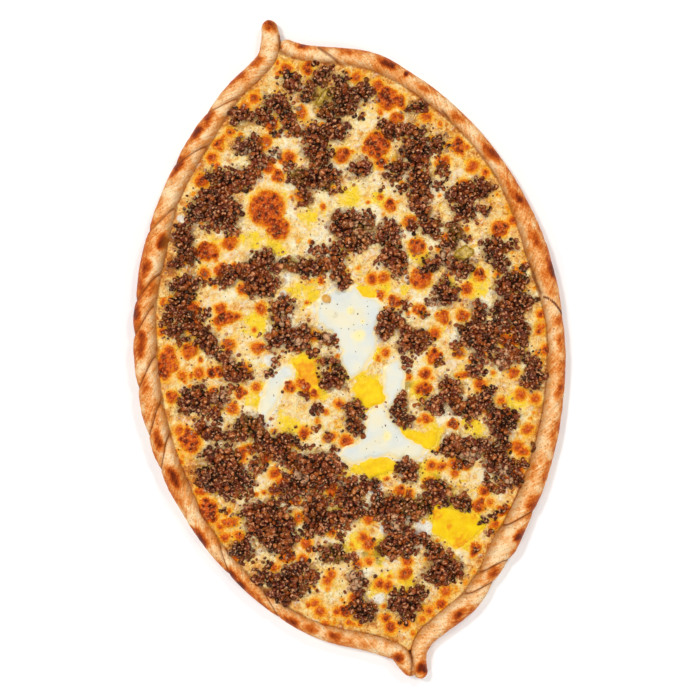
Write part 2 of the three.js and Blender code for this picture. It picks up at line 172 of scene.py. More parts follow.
# Browned blisters of cheese: x, y, width, and a height where it is longer one way.
BLISTERS = [
    (-26, 83, 19), (-22, 71, 12), (39, 103, 14), (50, 125, 11), (56, 123, 6), (-43, 122, 6), (12, 151, 6),
    (-19, 142, 4.5), (-25, 138, 5), (-13, 126, 7), (-18, 118, 5), (-56, 105, 7), (-20, 104, 5),
    (-8, 107, 5), (-16, 98, 6), (19, 101, 7), (39, 93, 4.5), (47, 133, 5.5), (36, 140, 4), (52, 114, 6),
    (68, 111, 5), (81, 92, 8), (72, 86, 5), (86, 80, 5), (79, 71, 6), (92, 75, 3), (38, 69, 6),
    (46, 59, 6), (92, 44, 8), (100, 47, 4), (47, 45, 8), (20, 34, 5), (26, 33, 5), (22, 24, 4),
    (45, 28, 11), (76, 23, 6), (68, 17, 5), (29, 19, 6), (41, 12, 6), (52, 5, 6), (62, 4, 6),
    (-62, 68, 13, 9), (-49, 70, 8, 6), (-66, 57, 5), (-57, 57, 6), (-62, 37, 5), (-60, 31, 14, 6),
    (-78, 40, 8), (-78, 31, 8), (-95, 32, 4), (-96, 15, 11), (-94, 21, 5), (-83, 19, 8), (-99, 10, 6),
    (-90, 7, 4), (-81, 6, 5), (-72, 5, 8, 5), (-57, 3, 5), (-62, 17, 6), (-47, 12, 6), (-17, 11, 4),
    (-41, 32, 5), (-48, 44, 5), (-7, 86, 5), (1, 153, 5), (4, 128, 5), (-36, 127, 4), (-48, 116, 4),
    (-98, -3, 6), (-98, -21, 4.5), (-94, -28, 11, 12), (-93, -66, 11, 13), (-94, -55, 5), (-83, -75, 8, 5),
    (-89, -76, 3), (-88, -82, 3.5), (-80, -83, 5), (-84, -94, 4, 3), (-77, -15, 4), (-76, -5, 4),
    (-62, -9, 6), (-53, -8, 4), (-68, -16, 5), (-65, -39, 10, 4), (-69, -42, 4), (-36, -12, 6),
    (-29, -11, 5), (-27, -14, 5), (-24, -18, 5), (-57, -46, 4.5), (-78, -52, 4, 6), (-54, -55, 5),
    (-51, -60, 4), (-43, -57, 5), (-56, -64, 5), (-34, -38, 4.5), (-21, -43, 5, 3), (-13, -47, 5),
    (-12, -27, 4), (-47, -81, 4.5), (-27, -71, 5, 6), (-11, -90, 5), (-46, -95, 5), (-32, -92, 3),
    (-16, -99, 4), (-14, -103, 5), (-58, -100, 9, 5), (-66, -104, 4, 3), (-50, -103, 4), (-37, -114, 4.5),
    (-40, -117, 4), (-22, -112, 4), (-16, -112, 3), (-49, -127, 4), (-47, -132, 5), (-39, -134, 3.5),
    (-33, -135, 7, 6), (-46, -139, 5, 3), (-28, -130, 5), (-14, -144, 4), (-13, -149, 5), (-4, -149, 4.5),
    (-13, -125, 4), (-9, -127, 4), (1, -123, 6), (4, -116, 5), (18, -6, 3.5), (46, -2, 5), (43, -14, 8),
    (36, -22, 5), (33, -29, 8, 7), (56, -15, 5), (56, -27, 5, 3), (63, -34, 5), (82, -32, 6, 4.5),
    (81, -14, 5), (86, -15, 5), (101, -12, 5, 6), (101, -24, 4.5), (103, -5, 3), (83, -44, 5.5),
    (72, -45, 3.5), (31, -45, 3.5), (44, -51, 6, 3), (90, -48, 5), (82, -63, 4.5), (75, -71, 5),
    (77, -74, 5, 3.5), (67, -86, 5, 3), (71, -84, 8, 7), (28, -70, 4), (33, -72, 5, 3), (40, -72, 5),
    (45, -74, 6, 4), (39, -77, 4), (25, -79, 5), (13, -82, 4), (8, -79, 6, 4), (48, -96, 7),
    (52, -90, 4.5), (54, -96, 3), (60, -102, 6, 4), (54, -108, 4.5), (41, -118, 6, 5), (20, -137, 5),
    (16, -143, 5, 4), (5, -148, 3), (9, -145, 3),
]

# Yellow stains of yolk on the cheese: x, y, width.
STAINS = [
    (12, -2, 9), (9, -7, 9), (-3, -12, 9), (5, -16, 8), (-24, -2, 12), (-26, -15, 10), (-20, 35, 14),
    (-8, -62, 9), (-18, -3, 8), (30, -90, 16), (16, 27, 8), (36, 24, 6), (33, -48, 10), (-1, -36, 6),
    (-15, 35, 16), (-45, 25, 16), (-5, 73, 14), (20, 80, 16), (75, 18, 18), (-53, -13, 16),
    (-40, -32, 16), (-24, -100, 14), (-10, -105, 14), (-12, -125, 16), (2, -128, 14), (55, -53, 12),
    (27, -73, 18), (-26, -86, 12), (-38, 68, 14), (26, 28, 8), (48, 40, 14), (40, -104, 20),
    (-28, -8, 18), (30, -30, 12), (58, 20, 10), (-26, 62, 12), (33, 75, 10), (80, -48, 14),
]

# Thin films of yolk on the cheese: x, y, width.
YOLK_FILMS = [
    (13, -3, 5), (11, -6, 6), (8, -9, 6), (5, -12, 6), (3, -15, 6), (-5, -14, 5), (-5, 19, 4), (-2, -27, 5),
    (1, -31, 5), (-11, -62, 5), (30, -98, 7), (-21, -103, 6),
]

# Thin films of egg white on the cheese: x, y, width.
FILM_PLACES = [
    (-24, 45, 8), (-28, 36, 6), (-5, -74, 9), (-3, -79, 6), (17, -101, 9), (13, -104, 6), (3, -104, 6),
    (-4, -97, 5), (-15, -132, 7), (-63, 66, 5), (-43, 4, 7), (38, 30, 4), (-72, 88, 5),
]

# Places where the cheese is whiter: x, y, width.
WHITE_PLACES = [
    (-15, 105, 18), (-5, 62, 18), (20, 66, 20), (68, 74, 14), (44, 12, 14), (-46, 16, 12), (75, 8, 12),
    (-60, 45, 14), (40, -45, 14), (60, -8, 12), (-70, -18, 12), (-20, -115, 14), (-5, -80, 14),
    (80, -5, 12), (55, -80, 14), (-30, 20, 12), (0, 20, 26), (10, -50, 26),
]

# Dark cracks over the rim: points along each.
CRACKS = [
    [(106.6, 3.6), (108.6, 2.2), (110.6, 0.2), (112.0, -2.4), (113.2, -4.8), (114.2, -7.4)],
]

# Thin creases over the rim, drawn only as painted shade: points along each.
CREASES = [
    [(20.5, 160), (23.5, 156.5), (27, 152.5), (29, 149.5)],
    [(1.5, 171), (0.8, 167), (0, 163)],
    [(-6, -162), (-5.5, -167), (-6.5, -171), (-8, -176)],
    [(104, 18), (104.3, 12), (105.6, 6)],
    [(77, 112), (79, 108), (79.5, 104)],
]

# Small clusters of crumbs between the heaps: x, y, size along x, size along y.
LOOSE_CLUSTERS = [
    (26, 66, 5, 11), (-4, 55, 8, 6), (-57, 80, 10, 6), (-67, 86, 6, 5), (-27, 105, 7, 12), (-35, 96, 9, 4),
    (-12, 121, 7, 5), (-16, 108, 8, 3), (12, 84, 10, 4), (47, 56, 5, 9), (55, 109, 6, 4), (66, 74, 7, 6),
    (70, 84, 6, 5), (-21, 53, 5, 8), (-65, 52, 6, 5), (9, 136, 8, 5), (18, 141, 9, 4), (61, 43, 4, 8),
    (48, 31, 5, 4), (-86, 25, 8, 4), (-66, 13, 4, 9), (-25, 12, 7, 9), (-7, 6, 5, 7), (-20, 3, 8, 5),
    (-40, 2, 5, 5), (-67, -6, 11, 5), (-80, -16, 8, 7), (-77, -20, 6, 6), (-55, -1, 5, 4), (-46, -39, 6, 5),
    (83, -4, 14, 11), (66, -21, 13, 8), (80, -21, 8, 11), (55, -12, 6, 9), (61, -26, 8, 6), (43, 9, 5, 5),
    (45, -17, 6, 5), (90, -25, 5, 5), (-62, -49, 10, 10), (-72, -63, 8, 6), (-55, -64, 8, 9),
    (-49, -70, 11, 7), (-19, -62, 6, 12), (-20, -52, 4, 12), (-16, -68, 8, 5), (-44, -89, 9, 7),
    (-7, -89, 7, 5), (-29, -76, 4, 7), (45, -73, 14, 5), (48, -62, 8, 5), (70, -88, 14, 8), (76, -80, 5, 4),
    (-76, -109, 7, 5), (-58, -98, 8, 4), (-26, -108, 12, 4), (-24, -120, 9, 9), (-68, -122, 6, 5),
    (5, -113, 16, 3), (17, -107, 5, 6), (-4, -147, 10, 4), (-4, -131, 12, 3), (41, -119, 3, 3),
    (60, -101, 4, 4), (-80, -95, 10, 4), (55, -86, 4, 10),
    (17.5, 153, 6, 4), (40.5, 136.5, 4, 4), (35, 119, 4.5, 4.5), (-9, 102.5, 7, 5), (-3, 119, 8, 5),
    (-23, 108, 7, 5), (-15, 111, 8, 4), (43.5, 83, 6, 6), (70, 80, 8, 7), (46.5, 77, 8, 5.5),
    (35.5, 79, 4, 3), (88, 70, 9, 7), (87, 55.5, 7, 5), (84, 57, 4, 4), (73.5, 43, 6, 5), (27, 42, 8, 5),
    (96.5, 34.5, 8, 6.5), (100, 21.5, 5, 4), (34.5, 16.5, 5, 7), (47, 14.5, 5, 4), (-44.5, 73.5, 3.5, 3.5),
    (-47, 75.5, 8, 6), (-71.5, 36, 8, 7), (-93.5, 36.5, 5, 4), (-39, 5, 4, 6), (-7, 58, 4, 6),
    (-78, -18, 3, 3), (-44, -3, 6, 5), (-29, -17.5, 4, 5), (-24.5, -27, 7, 7), (-21.5, -42, 5, 5),
    (-27.5, -37, 7, 3), (-34, -45.5, 8, 4), (28, -14, 6, 8), (64.5, -28, 7, 6), (28, -37, 3, 3),
    (67, -38, 9, 6), (52, -53, 6, 4.5), (32.5, -63.5, 5, 3.5), (84, -73, 5, 5), (77, -82, 5, 3.5),
    (60, -90, 10, 6), (62, -83, 7, 8), (70, -80, 8, 8), (-80, -61, 9, 6), (-68, -58, 8, 5),
    (-85, -68, 4, 4), (-82, -98, 2.5, 2.5), (-76, -102, 3, 3), (-68.5, -101, 6, 5), (-73, -107, 9, 8),
    (-25, -91, 9, 5), (-27, -95.5, 6, 5), (-42, -98, 9, 4), (-51, -119, 5, 4), (48, -105, 5, 5),
    (54, -103, 5, 4), (50, -112, 5, 4), (22, -114, 3, 3), (26, -118, 5, 5),
]

# Places where the cheese and crumbs are stained olive by pepper: x, y, width.
OLIVE_PLACES = [
    (17, 134, 17), (9, 87, 9), (70, 36, 11), (-61, -28, 15), (-33, -104, 12), (68, 47, 9), (-6, 96, 9),
    (17, -90, 13), (22, 60, 12), (-20, 53, 9), (-14, -108, 13), (7, -88, 9), (25, -25, 8), (-8, -10, 9),
]

# Cream rings in the egg white, each with a dark speck: x, y, width.
EGG_RINGS = [(5, 20, 5), (6.5, 6, 8), (12, -14.4, 8), (8.5, -49.4, 6), (10, 13, 2.5)]

# Small domes on the egg white, the first one of set yolk: x, y, width.
EGG_DOMES = [(-6.1, 29.1, 4.8), (-3.4, 19.6, 2.2), (5.6, 19.2, 1.8)]

# Places on the yolk that are baked orange: x, y, width.
BAKED_YOLKS = [(-25, -9, 24), (34, -114, 12), (24, -96, 9), (45, -101, 7), (30, -104, 5)]

# Dark specks on the egg: x, y.
EGG_SPECKS = [
    (-3.1, 20.2), (-2.5, 19.4), (5, 20), (5.8, 18.8), (6.5, 6), (13.8, 16.2), (10, 13), (11.3, -14),
    (12.5, -15), (12.2, -13.2), (8.5, -49.4), (-2, 12), (9, -44), (4, -52), (-1, 25), (15, -24), (-45, -14),
]

# Places where the crumbs lie under a thin film of cheese: x, y, width.
VEILED_PLACES = [
    (-31, 119, 12), (-71, -10, 12), (-24, -120, 14), (66, -84, 16), (2, -95, 10), (80, -23, 16),
    (47, 14, 12), (-15, 110, 16), (61, 36, 12), (-24, 12, 12), (-12, 9, 10), (-31, 24, 10), (20, 60, 14),
    (60, 66, 10), (-60, 84, 8), (-47, -108, 10), (-62, 8, 10), (50, -68, 12), (-40, -60, 10),
]


# ---------------------------------------------------------------------------------------------
# Smooth random values, and other small helpers.

FAR = 99.0
GOLDEN_TURN = 2.4
ELLIPSE_SHARE = 0.785


class Noise:
    """Smooth random values between -1 and 1 over the plane."""

    def __init__(self, seed):
        self.table = np.random.default_rng(seed).uniform(-1, 1, (256, 256))

    def __call__(self, x, y, size):
        u, v = np.asarray(x) / size, np.asarray(y) / size
        i, j = np.floor(u).astype(int), np.floor(v).astype(int)
        a, b = u - i, v - j
        a, b = a * a * (3 - 2 * a), b * b * (3 - 2 * b)
        t = self.table
        near = t[i % 256, j % 256] * (1 - a) + t[(i + 1) % 256, j % 256] * a
        far = t[i % 256, (j + 1) % 256] * (1 - a) + t[(i + 1) % 256, (j + 1) % 256] * a
        return near * (1 - b) + far * b


def smoothstep(low, high, value):
    t = np.clip((value - low) / (high - low), 0, 1)
    return t * t * (3 - 2 * t)


def table_value(table, at):
    rows = sorted(table)
    return np.interp(at, [row[0] for row in rows], [row[1] for row in rows])


def waver(noise, x, y, shift, *waves):
    """A place moved a little each way by a noise, in waves of an amount and a size each."""
    wx, wy = x, y
    for amount, size in waves:
        wx = wx + amount * noise(x, y, size)
        wy = wy + amount * noise(x + shift[0], y + shift[1], size)
    return wx, wy


def spots(places, x, y, wobble):
    """How deep a point is in any of the round places, 0 to 1."""
    amount = np.zeros(x.shape)
    for px, py, width in places:
        near = (np.abs(x - px) < width) & (np.abs(y - py) < width)
        away = np.hypot(x[near] - px, y[near] - py) / (0.5 * width) + wobble[near]
        amount[near] = np.maximum(amount[near], 1 - smoothstep(0.3, 1.35, away))
    return amount


def line_distance(line, x, y):
    """Distance from points to a line of straight pieces."""
    best = np.full(x.shape, FAR)
    for (ax, ay), (bx, by) in zip(line, line[1:]):
        dx, dy = bx - ax, by - ay
        t = np.clip(((x - ax) * dx + (y - ay) * dy) / (dx * dx + dy * dy), 0, 1)
        best = np.minimum(best, np.hypot(x - ax - t * dx, y - ay - t * dy))
    return best


def kd_tree(points):
    tree = KDTree(len(points))
    for i, point in enumerate(points):
        tree.insert(point, i)
    tree.balance()
    return tree


def nearest(tree, points):
    """For each point, the number of the closest one in the tree and the distance to it."""
    found = [tree.find(point) for point in points]
    return np.array([hit[1] for hit in found]), np.array([hit[2] for hit in found])


def random_places(rng, area, count):
    return rng.uniform(*area[0], count), rng.uniform(*area[1], count)


def spiral(rng, count, jitter):
    """Angles and distances from the middle, 0 to 1, of places spread over a disk."""
    turn = rng.uniform(0, 2 * math.pi)
    for k in range(count):
        yield turn + GOLDEN_TURN * k + rng.uniform(-jitter, jitter), math.sqrt((k + 0.5) / count)


def split_quads(quads):
    """Two triangles for every face of four corners."""
    return np.vstack([quads[:, [0, 1, 2]], quads[:, [0, 2, 3]]])


def link_object(name, data):
    item = bpy.data.objects.new(name, data)
    bpy.context.scene.collection.objects.link(item)
    return item


def make_piece(name, points, faces, attributes=None):
    """A smooth-shaded mesh from points in layout millimetres and faces of equally many corners."""
    mesh = bpy.data.meshes.new(name)
    points = (np.asarray(points, float) + LAYOUT_SHIFT) / 1000
    faces = np.asarray(faces, np.int32)
    corners = faces.shape[1]
    mesh.vertices.add(len(points))
    mesh.vertices.foreach_set("co", points.astype(np.float32).ravel())
    mesh.loops.add(faces.size)
    mesh.loops.foreach_set("vertex_index", faces.ravel())
    mesh.polygons.add(len(faces))
    mesh.polygons.foreach_set("loop_start", np.arange(len(faces), dtype=np.int32) * corners)
    mesh.update(calc_edges=True)
    mesh.validate()
    set_attributes(mesh, attributes or {})
    mesh.shade_smooth()
    return link_object(name, mesh)


def set_attributes(mesh, attributes):
    for name, values in attributes.items():
        layer = mesh.attributes.new(name, "FLOAT", "POINT")
        layer.data.foreach_set("value", np.asarray(values, np.float32))


def with_zeros(values, count):
    """The values with zeros for some more points after them."""
    return {key: np.concatenate([value, np.zeros(count)]) for key, value in values.items()}


def layout_points(mesh):
    points = np.empty(len(mesh.vertices) * 3, np.float32)
    mesh.vertices.foreach_get("co", points)
    return points.reshape(-1, 3) * 1000.0 - LAYOUT_SHIFT


# ---------------------------------------------------------------------------------------------
# Outlines of the CAD toppings, read from their flat undersides.

OUTLINE_MARGIN = 6


class Outline:
    """The outline of a CAD node's flat underside."""

    def __init__(self, node):
        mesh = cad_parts[node].data
        points = layout_points(mesh)
        floor = points[:, 2].min() + 0.05
        seen = Counter()
        for polygon in mesh.polygons:
            corners = points[list(polygon.vertices)]
            if (corners[:, 2] > floor).any():
                continue
            places = [tuple(np.round(corner[:2], 2)) for corner in corners]
            seen.update(frozenset(side) for side in zip(places, places[1:] + places[:1]))
        sides = [tuple(side) for side, count in seen.items() if count == 1 and len(side) == 2]
        self.starts = np.array([side[0] for side in sides])
        self.ends = np.array([side[1] for side in sides])
        self.low = np.minimum(self.starts, self.ends).min(axis=0)
        self.high = np.maximum(self.starts, self.ends).max(axis=0)

    def depth(self, x, y):
        """How far inside the outline a point is; negative outside."""
        depth = np.full(x.shape, -FAR)
        low, high = self.low - OUTLINE_MARGIN, self.high + OUTLINE_MARGIN
        near = (x > low[0]) & (x < high[0]) & (y > low[1]) & (y < high[1])
        if not near.any():
            return depth
        p = np.stack([x[near], y[near]], axis=-1)[:, None, :]
        a, b = self.starts[None], self.ends[None]
        along = b - a
        t = np.clip(((p - a) * along).sum(-1) / (along**2).sum(-1), 0, 1)
        gap = np.sqrt(((p - a - t[..., None] * along) ** 2).sum(-1)).min(axis=1)
        crosses = (a[..., 1] > p[..., 1]) != (b[..., 1] > p[..., 1])
        rise = np.where(along[..., 1] == 0, 1e-9, along[..., 1])
        left = p[..., 0] < a[..., 0] + (p[..., 1] - a[..., 1]) * along[..., 0] / rise
        inside = (crosses & left).sum(axis=1) % 2 == 1
        depth[near] = np.where(inside, gap, -gap)
        return depth


def nodes_named(start):
    return sorted(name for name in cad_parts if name.startswith(start))


def depth_in(nodes, x, y):
    """How far inside the outline of any of the nodes a point is; negative outside."""
    depth = np.full(x.shape, -FAR)
    for node in nodes:
        depth = np.maximum(depth, OUTLINES[node].depth(x, y))
    return depth


MINCE_NODES = nodes_named("mince_")
WHITE_NODES = nodes_named("egg_white_")
YOLK_NODES = nodes_named("yolk_")
PEPPER_NODES = nodes_named("pepper_")
EGG_NODES = WHITE_NODES + YOLK_NODES
OUTLINES = {name: Outline(name) for name in MINCE_NODES + EGG_NODES + PEPPER_NODES}


# ---------------------------------------------------------------------------------------------
# The bread: two twisted rolls on a slab.


def smooth_path(points, steps=40):
    """A centripetal Catmull-Rom curve through the points."""
    points = np.asarray(points, float)
    padded = np.vstack([2 * points[0] - points[1], points, 2 * points[-1] - points[-2]])
    t = np.linspace(0, 1, steps, endpoint=False)[:, None]
    spans = []
    for a, b, c, d in zip(padded, padded[1:], padded[2:], padded[3:]):
        ta, tb, tc = (np.linalg.norm(q - p) ** 0.5 for p, q in ((a, b), (b, c), (c, d)))
        out = ((b - a) / ta - (c - a) / (ta + tb) + (c - b) / tb) * tb
        into = ((c - b) / tb - (d - b) / (tb + tc) + (d - c) / tc) * tb
        spans.append(
            (2 * t**3 - 3 * t**2 + 1) * b + (t**3 - 2 * t**2 + t) * out
            + (3 * t**2 - 2 * t**3) * c + (t**3 - t**2) * into
        )
    return np.vstack([*spans, points[-1:]])


def roll_path(roll):
    """The middle line of a roll: a given start and end, and an arc between them."""
    arc_from, arc_to = roll["arc"]
    arc = []
    for y in np.linspace(arc_from, arc_to, ARC_STEPS + 1):
        radius = ARC_RADIUS - table_value(roll["half_widths"], y)
        reach = math.sqrt(radius**2 - y**2) - ARC_CENTRE
        arc.append((roll["lean"] * y + roll["side"] * reach, y))
    return smooth_path(roll["start"] + arc + roll["end"])


def tube_triangles(rows, count):
    """Triangles of a tube of rings of points; two more points close its ends."""
    index = np.arange(rows * count).reshape(rows, count)
    beside = np.roll(index, -1, axis=1)
    quads = np.stack([index[:-1], index[1:], beside[1:], beside[:-1]], axis=-1).reshape(-1, 4)
    first, last = np.full(count, rows * count), np.full(count, rows * count + 1)
    return np.vstack([
        split_quads(quads),
        np.column_stack([index[0], beside[0], first]),
        np.column_stack([beside[-1], index[-1], last]),
    ])


class Roll:
    """One roll of the rim, with its places measured along its middle line."""

    def __init__(self, roll):
        self.roll = roll
        self.path = roll_path(roll)
        steps = np.linalg.norm(np.diff(self.path, axis=0), axis=1)
        self.lengths = np.concatenate([[0], np.cumsum(steps)])
        self.length = self.lengths[-1]
        self.seams = np.sort([self.length_at(y) for y in roll["seams"]])
        faint = np.array([self.length_at(y) for y in roll["faint"]])
        self.seam_depth = [FAINT_SEAM if np.abs(s - faint).min() < 1 else 1 for s in self.seams]

    def length_at(self, y):
        return self.lengths[np.abs(self.path[:, 1] - y).argmin()]

    def at(self, s):
        x = np.interp(s, self.lengths, self.path[:, 0])
        y = np.interp(s, self.lengths, self.path[:, 1])
        return x, y

    def direction(self, s):
        ahead, behind = self.at(s + 0.8), self.at(s - 0.8)
        dx, dy = ahead[0] - behind[0], ahead[1] - behind[1]
        size = np.hypot(dx, dy)
        return dx / size, dy / size

    def half_width(self, y):
        return table_value(self.roll["half_widths"], y)

    def lobes(self, s):
        """The swelling between the seams, the pinch at each and the crease along it."""
        fences = np.concatenate([[0], self.seams, [self.length]])
        span = np.clip(np.searchsorted(fences, s, side="right") - 1, 0, len(fences) - 2)
        low, high = fences[span], fences[span + 1]
        part = (s - low) / (high - low)
        swell = LOBE_SWELL * np.minimum(1, LOBE_LENGTH / (high - low)) * np.sin(math.pi * part)
        pinch = np.zeros_like(s)
        crease = np.zeros_like(s)
        for seam, depth in zip(self.seams, self.seam_depth):
            gap = s - seam
            pinch = np.maximum(pinch, depth * np.exp(-((gap / PINCH_REACH) ** 2)))
            lip = np.where(gap > 0, np.exp(-gap / LIP_AFTER), np.exp(gap / LIP_BEFORE))
            crease = np.maximum(crease, depth * lip)
        return swell, pinch, crease

    def grid(self):
        """Stations along the roll and turns round it, every station with every turn."""
        stations = np.arange(ROLL_END, self.length, ROLL_STEP)
        stations = np.append(stations[stations < self.length - 0.3], self.length - ROLL_END)
        turns = 2 * math.pi * (np.arange(ROLL_SIDES) + 0.5) / ROLL_SIDES
        return np.meshgrid(stations, turns, indexing="ij")

    def mesh(self, noise):
        """Points, triangles and values of the roll."""
        s, turn = self.grid()
        across, up = np.sin(turn), np.cos(turn)
        from_end = np.minimum(s, self.length - s)
        shear = self.roll["shear"] * np.minimum(1, from_end / END_TAPER) ** 2
        along = np.clip(s - 0.5 * shear * across, 0, self.length)
        x, y = self.at(along)
        dx, dy = self.direction(along)
        half = self.half_width(y)
        scale = np.sqrt(1 - np.maximum(0, 1 - from_end / half) ** 2)
        swell, pinch, crease = self.lobes(s)
        lobe = swell - SEAM_PINCH * pinch - SEAM_CREASE * crease * (1 - 0.68 * across**4)
        around = half * ((turn + math.pi) % (2 * math.pi) - math.pi)
        lump = 0.035 * noise(s, around + 40, 9) + WRINKLE * noise(s, 0.3 * around, 2.6)
        lump = lump + 0.6 * WRINKLE * noise(s + 90, 0.8 * around, 1.7)
        reach = half * scale * (1 + lobe + lump)
        half_height = 0.5 * (ROLL_BASE_HEIGHT + ROLL_HEIGHT_PER_WIDTH * half)
        lift = half_height * np.sqrt(scale) * (1 + lobe + lump)
        z = np.maximum(0, half_height - ROLL_SINK + lift * up)
        rings = np.stack([x - dy * reach * across, y + dx * reach * across, z], axis=-1)
        points = np.vstack([rings.reshape(-1, 3), rings[0].mean(axis=0), rings[-1].mean(axis=0)])
        values = {
            # The seam value is also used to paint shade into the creases between lobes.
            "seam": np.append(crease, [0, 0]),
            "outer": np.append(0.5 + 0.5 * across, [0.5, 0.5]),
            "along": np.append(s, [0, self.length]),
            "around": np.append(around, [0, 0]),
        }
        return points, tube_triangles(*s.shape), values


class Rim:
    """The closed line through the middles of both rolls, counter-clockwise."""

    def __init__(self, rolls):
        lines, half_widths = [], []
        for roll in rolls:
            x, y = roll.at(np.linspace(0.02, 0.97, 180) * roll.length)
            lines.append(np.stack([x, y], axis=-1))
            half_widths.append(roll.half_width(y))
        self.line = np.vstack(lines)[::-1]
        self.half_widths = np.concatenate(half_widths)[::-1]
        dense = []
        for a, b in zip(self.line, np.roll(self.line, -1, axis=0)):
            dense += [(*(a + (b - a) * t / RIM_PARTS), 0) for t in range(RIM_PARTS)]
        self.tree = kd_tree(dense)

    def clearance(self, x, y):
        """How far a point inside the rim is from the side of the roll."""
        number, gap = nearest(self.tree, np.column_stack([x, y, 0 * x]))
        return gap - self.half_widths[number // RIM_PARTS]

    def depth(self, x, y):
        """Distance from the middle line, positive inside."""
        shape = x.shape
        x, y = x.ravel(), y.ravel()
        _, gap = nearest(self.tree, np.column_stack([x, y, 0 * x]))
        inside = np.zeros(len(x), bool)
        for (ax, ay), (bx, by) in zip(self.line, np.roll(self.line, -1, axis=0)):
            if ay == by:
                continue
            crosses = (ay > y) != (by > y)
            inside ^= crosses & (x < ax + (y - ay) * (bx - ax) / (by - ay))
        return np.where(inside, gap, -gap).reshape(shape)


ROLLS = [Roll(LEFT_ROLL), Roll(RIGHT_ROLL)]
RIM = Rim(ROLLS)


def slab_mesh():
    """A low slab with slightly rounded edges, out to the middle of the rim."""
    line = RIM.line[::3]
    along = np.roll(line, -1, axis=0) - np.roll(line, 1, axis=0)
    along /= np.linalg.norm(along, axis=1)[:, None]
    outward = np.stack([along[:, 1], -along[:, 0]], axis=-1)
    rings = []
    for out, z in ((0.0, 0.0), (0.6, 0.8), (0.6, SLAB_TOP - 0.5), (0.0, SLAB_TOP)):
        rings.append(np.column_stack([line + out * outward, np.full(len(line), z)]))
    count = len(line)
    polygons = []
    for r in range(len(rings) - 1):
        for k in range(count):
            a, b = r * count + k, r * count + (k + 1) % count
            polygons += [(a, b, b + count), (a, b + count, a + count)]
    top = [(len(rings) - 1) * count + k for k in range(count)]
    bottom = [count - 1 - k for k in range(count)]
    return np.vstack(rings), [*polygons, top, bottom]


def build_bread(noise):
    """The slab and both rolls, joined into one closed mesh."""
    points, polygons = slab_mesh()
    slab = bpy.data.meshes.new("slab")
    slab.from_pydata(((points + LAYOUT_SHIFT) / 1000).tolist(), [], polygons)
    bread = link_object("bread_crust", slab)
    rolls = [roll.mesh(noise) for roll in ROLLS]
    parts = []
    for k, (points, triangles, _) in enumerate(rolls):
        part = make_piece(f"roll_{k}", points, triangles)
        union = bread.modifiers.new(f"join_{k}", "BOOLEAN")
        union.operation = "UNION"
        union.solver = "MANIFOLD"
        union.object = part
        parts.append(part)
    depsgraph = bpy.context.evaluated_depsgraph_get()
    whole = bpy.data.meshes.new_from_object(bread.evaluated_get(depsgraph))
    bread.modifiers.clear()
    bread.data = whole
    whole.name = "bread_crust"
    for part in parts:
        bpy.data.objects.remove(part)
    whole.shade_smooth()
    paint_bread(whole, rolls)
    return bread


def paint_bread(mesh, rolls):
    """Browning of the crust, from its place on the roll and from the browned patches, with painted shade in
    the seams, in the creases and on the inner side of each roll.
    """
    points = layout_points(mesh)
    number, gap = nearest(kd_tree(np.vstack([roll[0] for roll in rolls])), points)
    own = {key: np.concatenate([roll[2][key] for roll in rolls])[number] for key in rolls[0][2]}
    near = gap < 1
    outer = np.where(near, own["outer"], 0.3)
    x, y, z = points.T
    noise = Noise(11)
    blotch = 0.5 * noise(x, y, 13) + 0.5 * noise(x, y, 5)
    brown = 0.15 + 0.16 * smoothstep(0.6, 1.0, outer + 0.3 * blotch) * smoothstep(1, 7, z)
    brown += 0.26 * np.clip(blotch, -0.5, 1)
    wobble = noise(x, y, 5.5) * 0.3 + noise(x, y, 2.0) * 0.3
    brown, char = add_patches(brown, x, y, wobble + 0.8 * (1 - smoothstep(1, 6, z)))
    for crack in CRACKS:
        char = np.maximum(char, 0.9 - 0.9 * smoothstep(0.15, 0.95, line_distance(crack, x, y)))
    # Painted shade in the seams, and in the creases, which have no other shape.
    seam = np.where(near, own["seam"], 0)
    for crease in CREASES:
        seam = np.maximum(seam, 0.8 - 0.8 * smoothstep(0.2, 1.9, line_distance(crease, x, y)))
    set_attributes(mesh, {
        "brown": np.clip(brown, 0, 1),
        "char": np.clip(char, 0, 1),
        "seam": seam,
        "under": 1 - smoothstep(0.0, 1.2, z),
        # Painted shade on the inner side of the roll, beside the cheese.
        "inner_shade": (1 - smoothstep(0.0, 0.34, outer)) * near,
        "along": np.where(near, own["along"], x),
        "around": np.where(near, own["around"], y),
    })


def add_patches(brown, x, y, wobble):
    """The browning with the patches added to it, and how charred their middles are."""
    char = np.zeros(len(x))
    for px, py, length, width, degrees, strength in CRUST_PATCHES:
        cos, sin = math.cos(math.radians(degrees)), math.sin(math.radians(degrees))
        u = ((x - px) * cos + (y - py) * sin) / (0.5 * length)
        v = ((y - py) * cos - (x - px) * sin) / (0.5 * width)
        away = np.sqrt(u * u + v * v) + wobble
        patch = 0.66 * strength * (1 - smoothstep(0.0, 1.8, away))
        brown = np.maximum(brown, patch + 0.45 * brown)
        char = np.maximum(char, (1.3 * strength - 0.9) * (1 - smoothstep(0.1, 0.8, away)))
    return brown, char
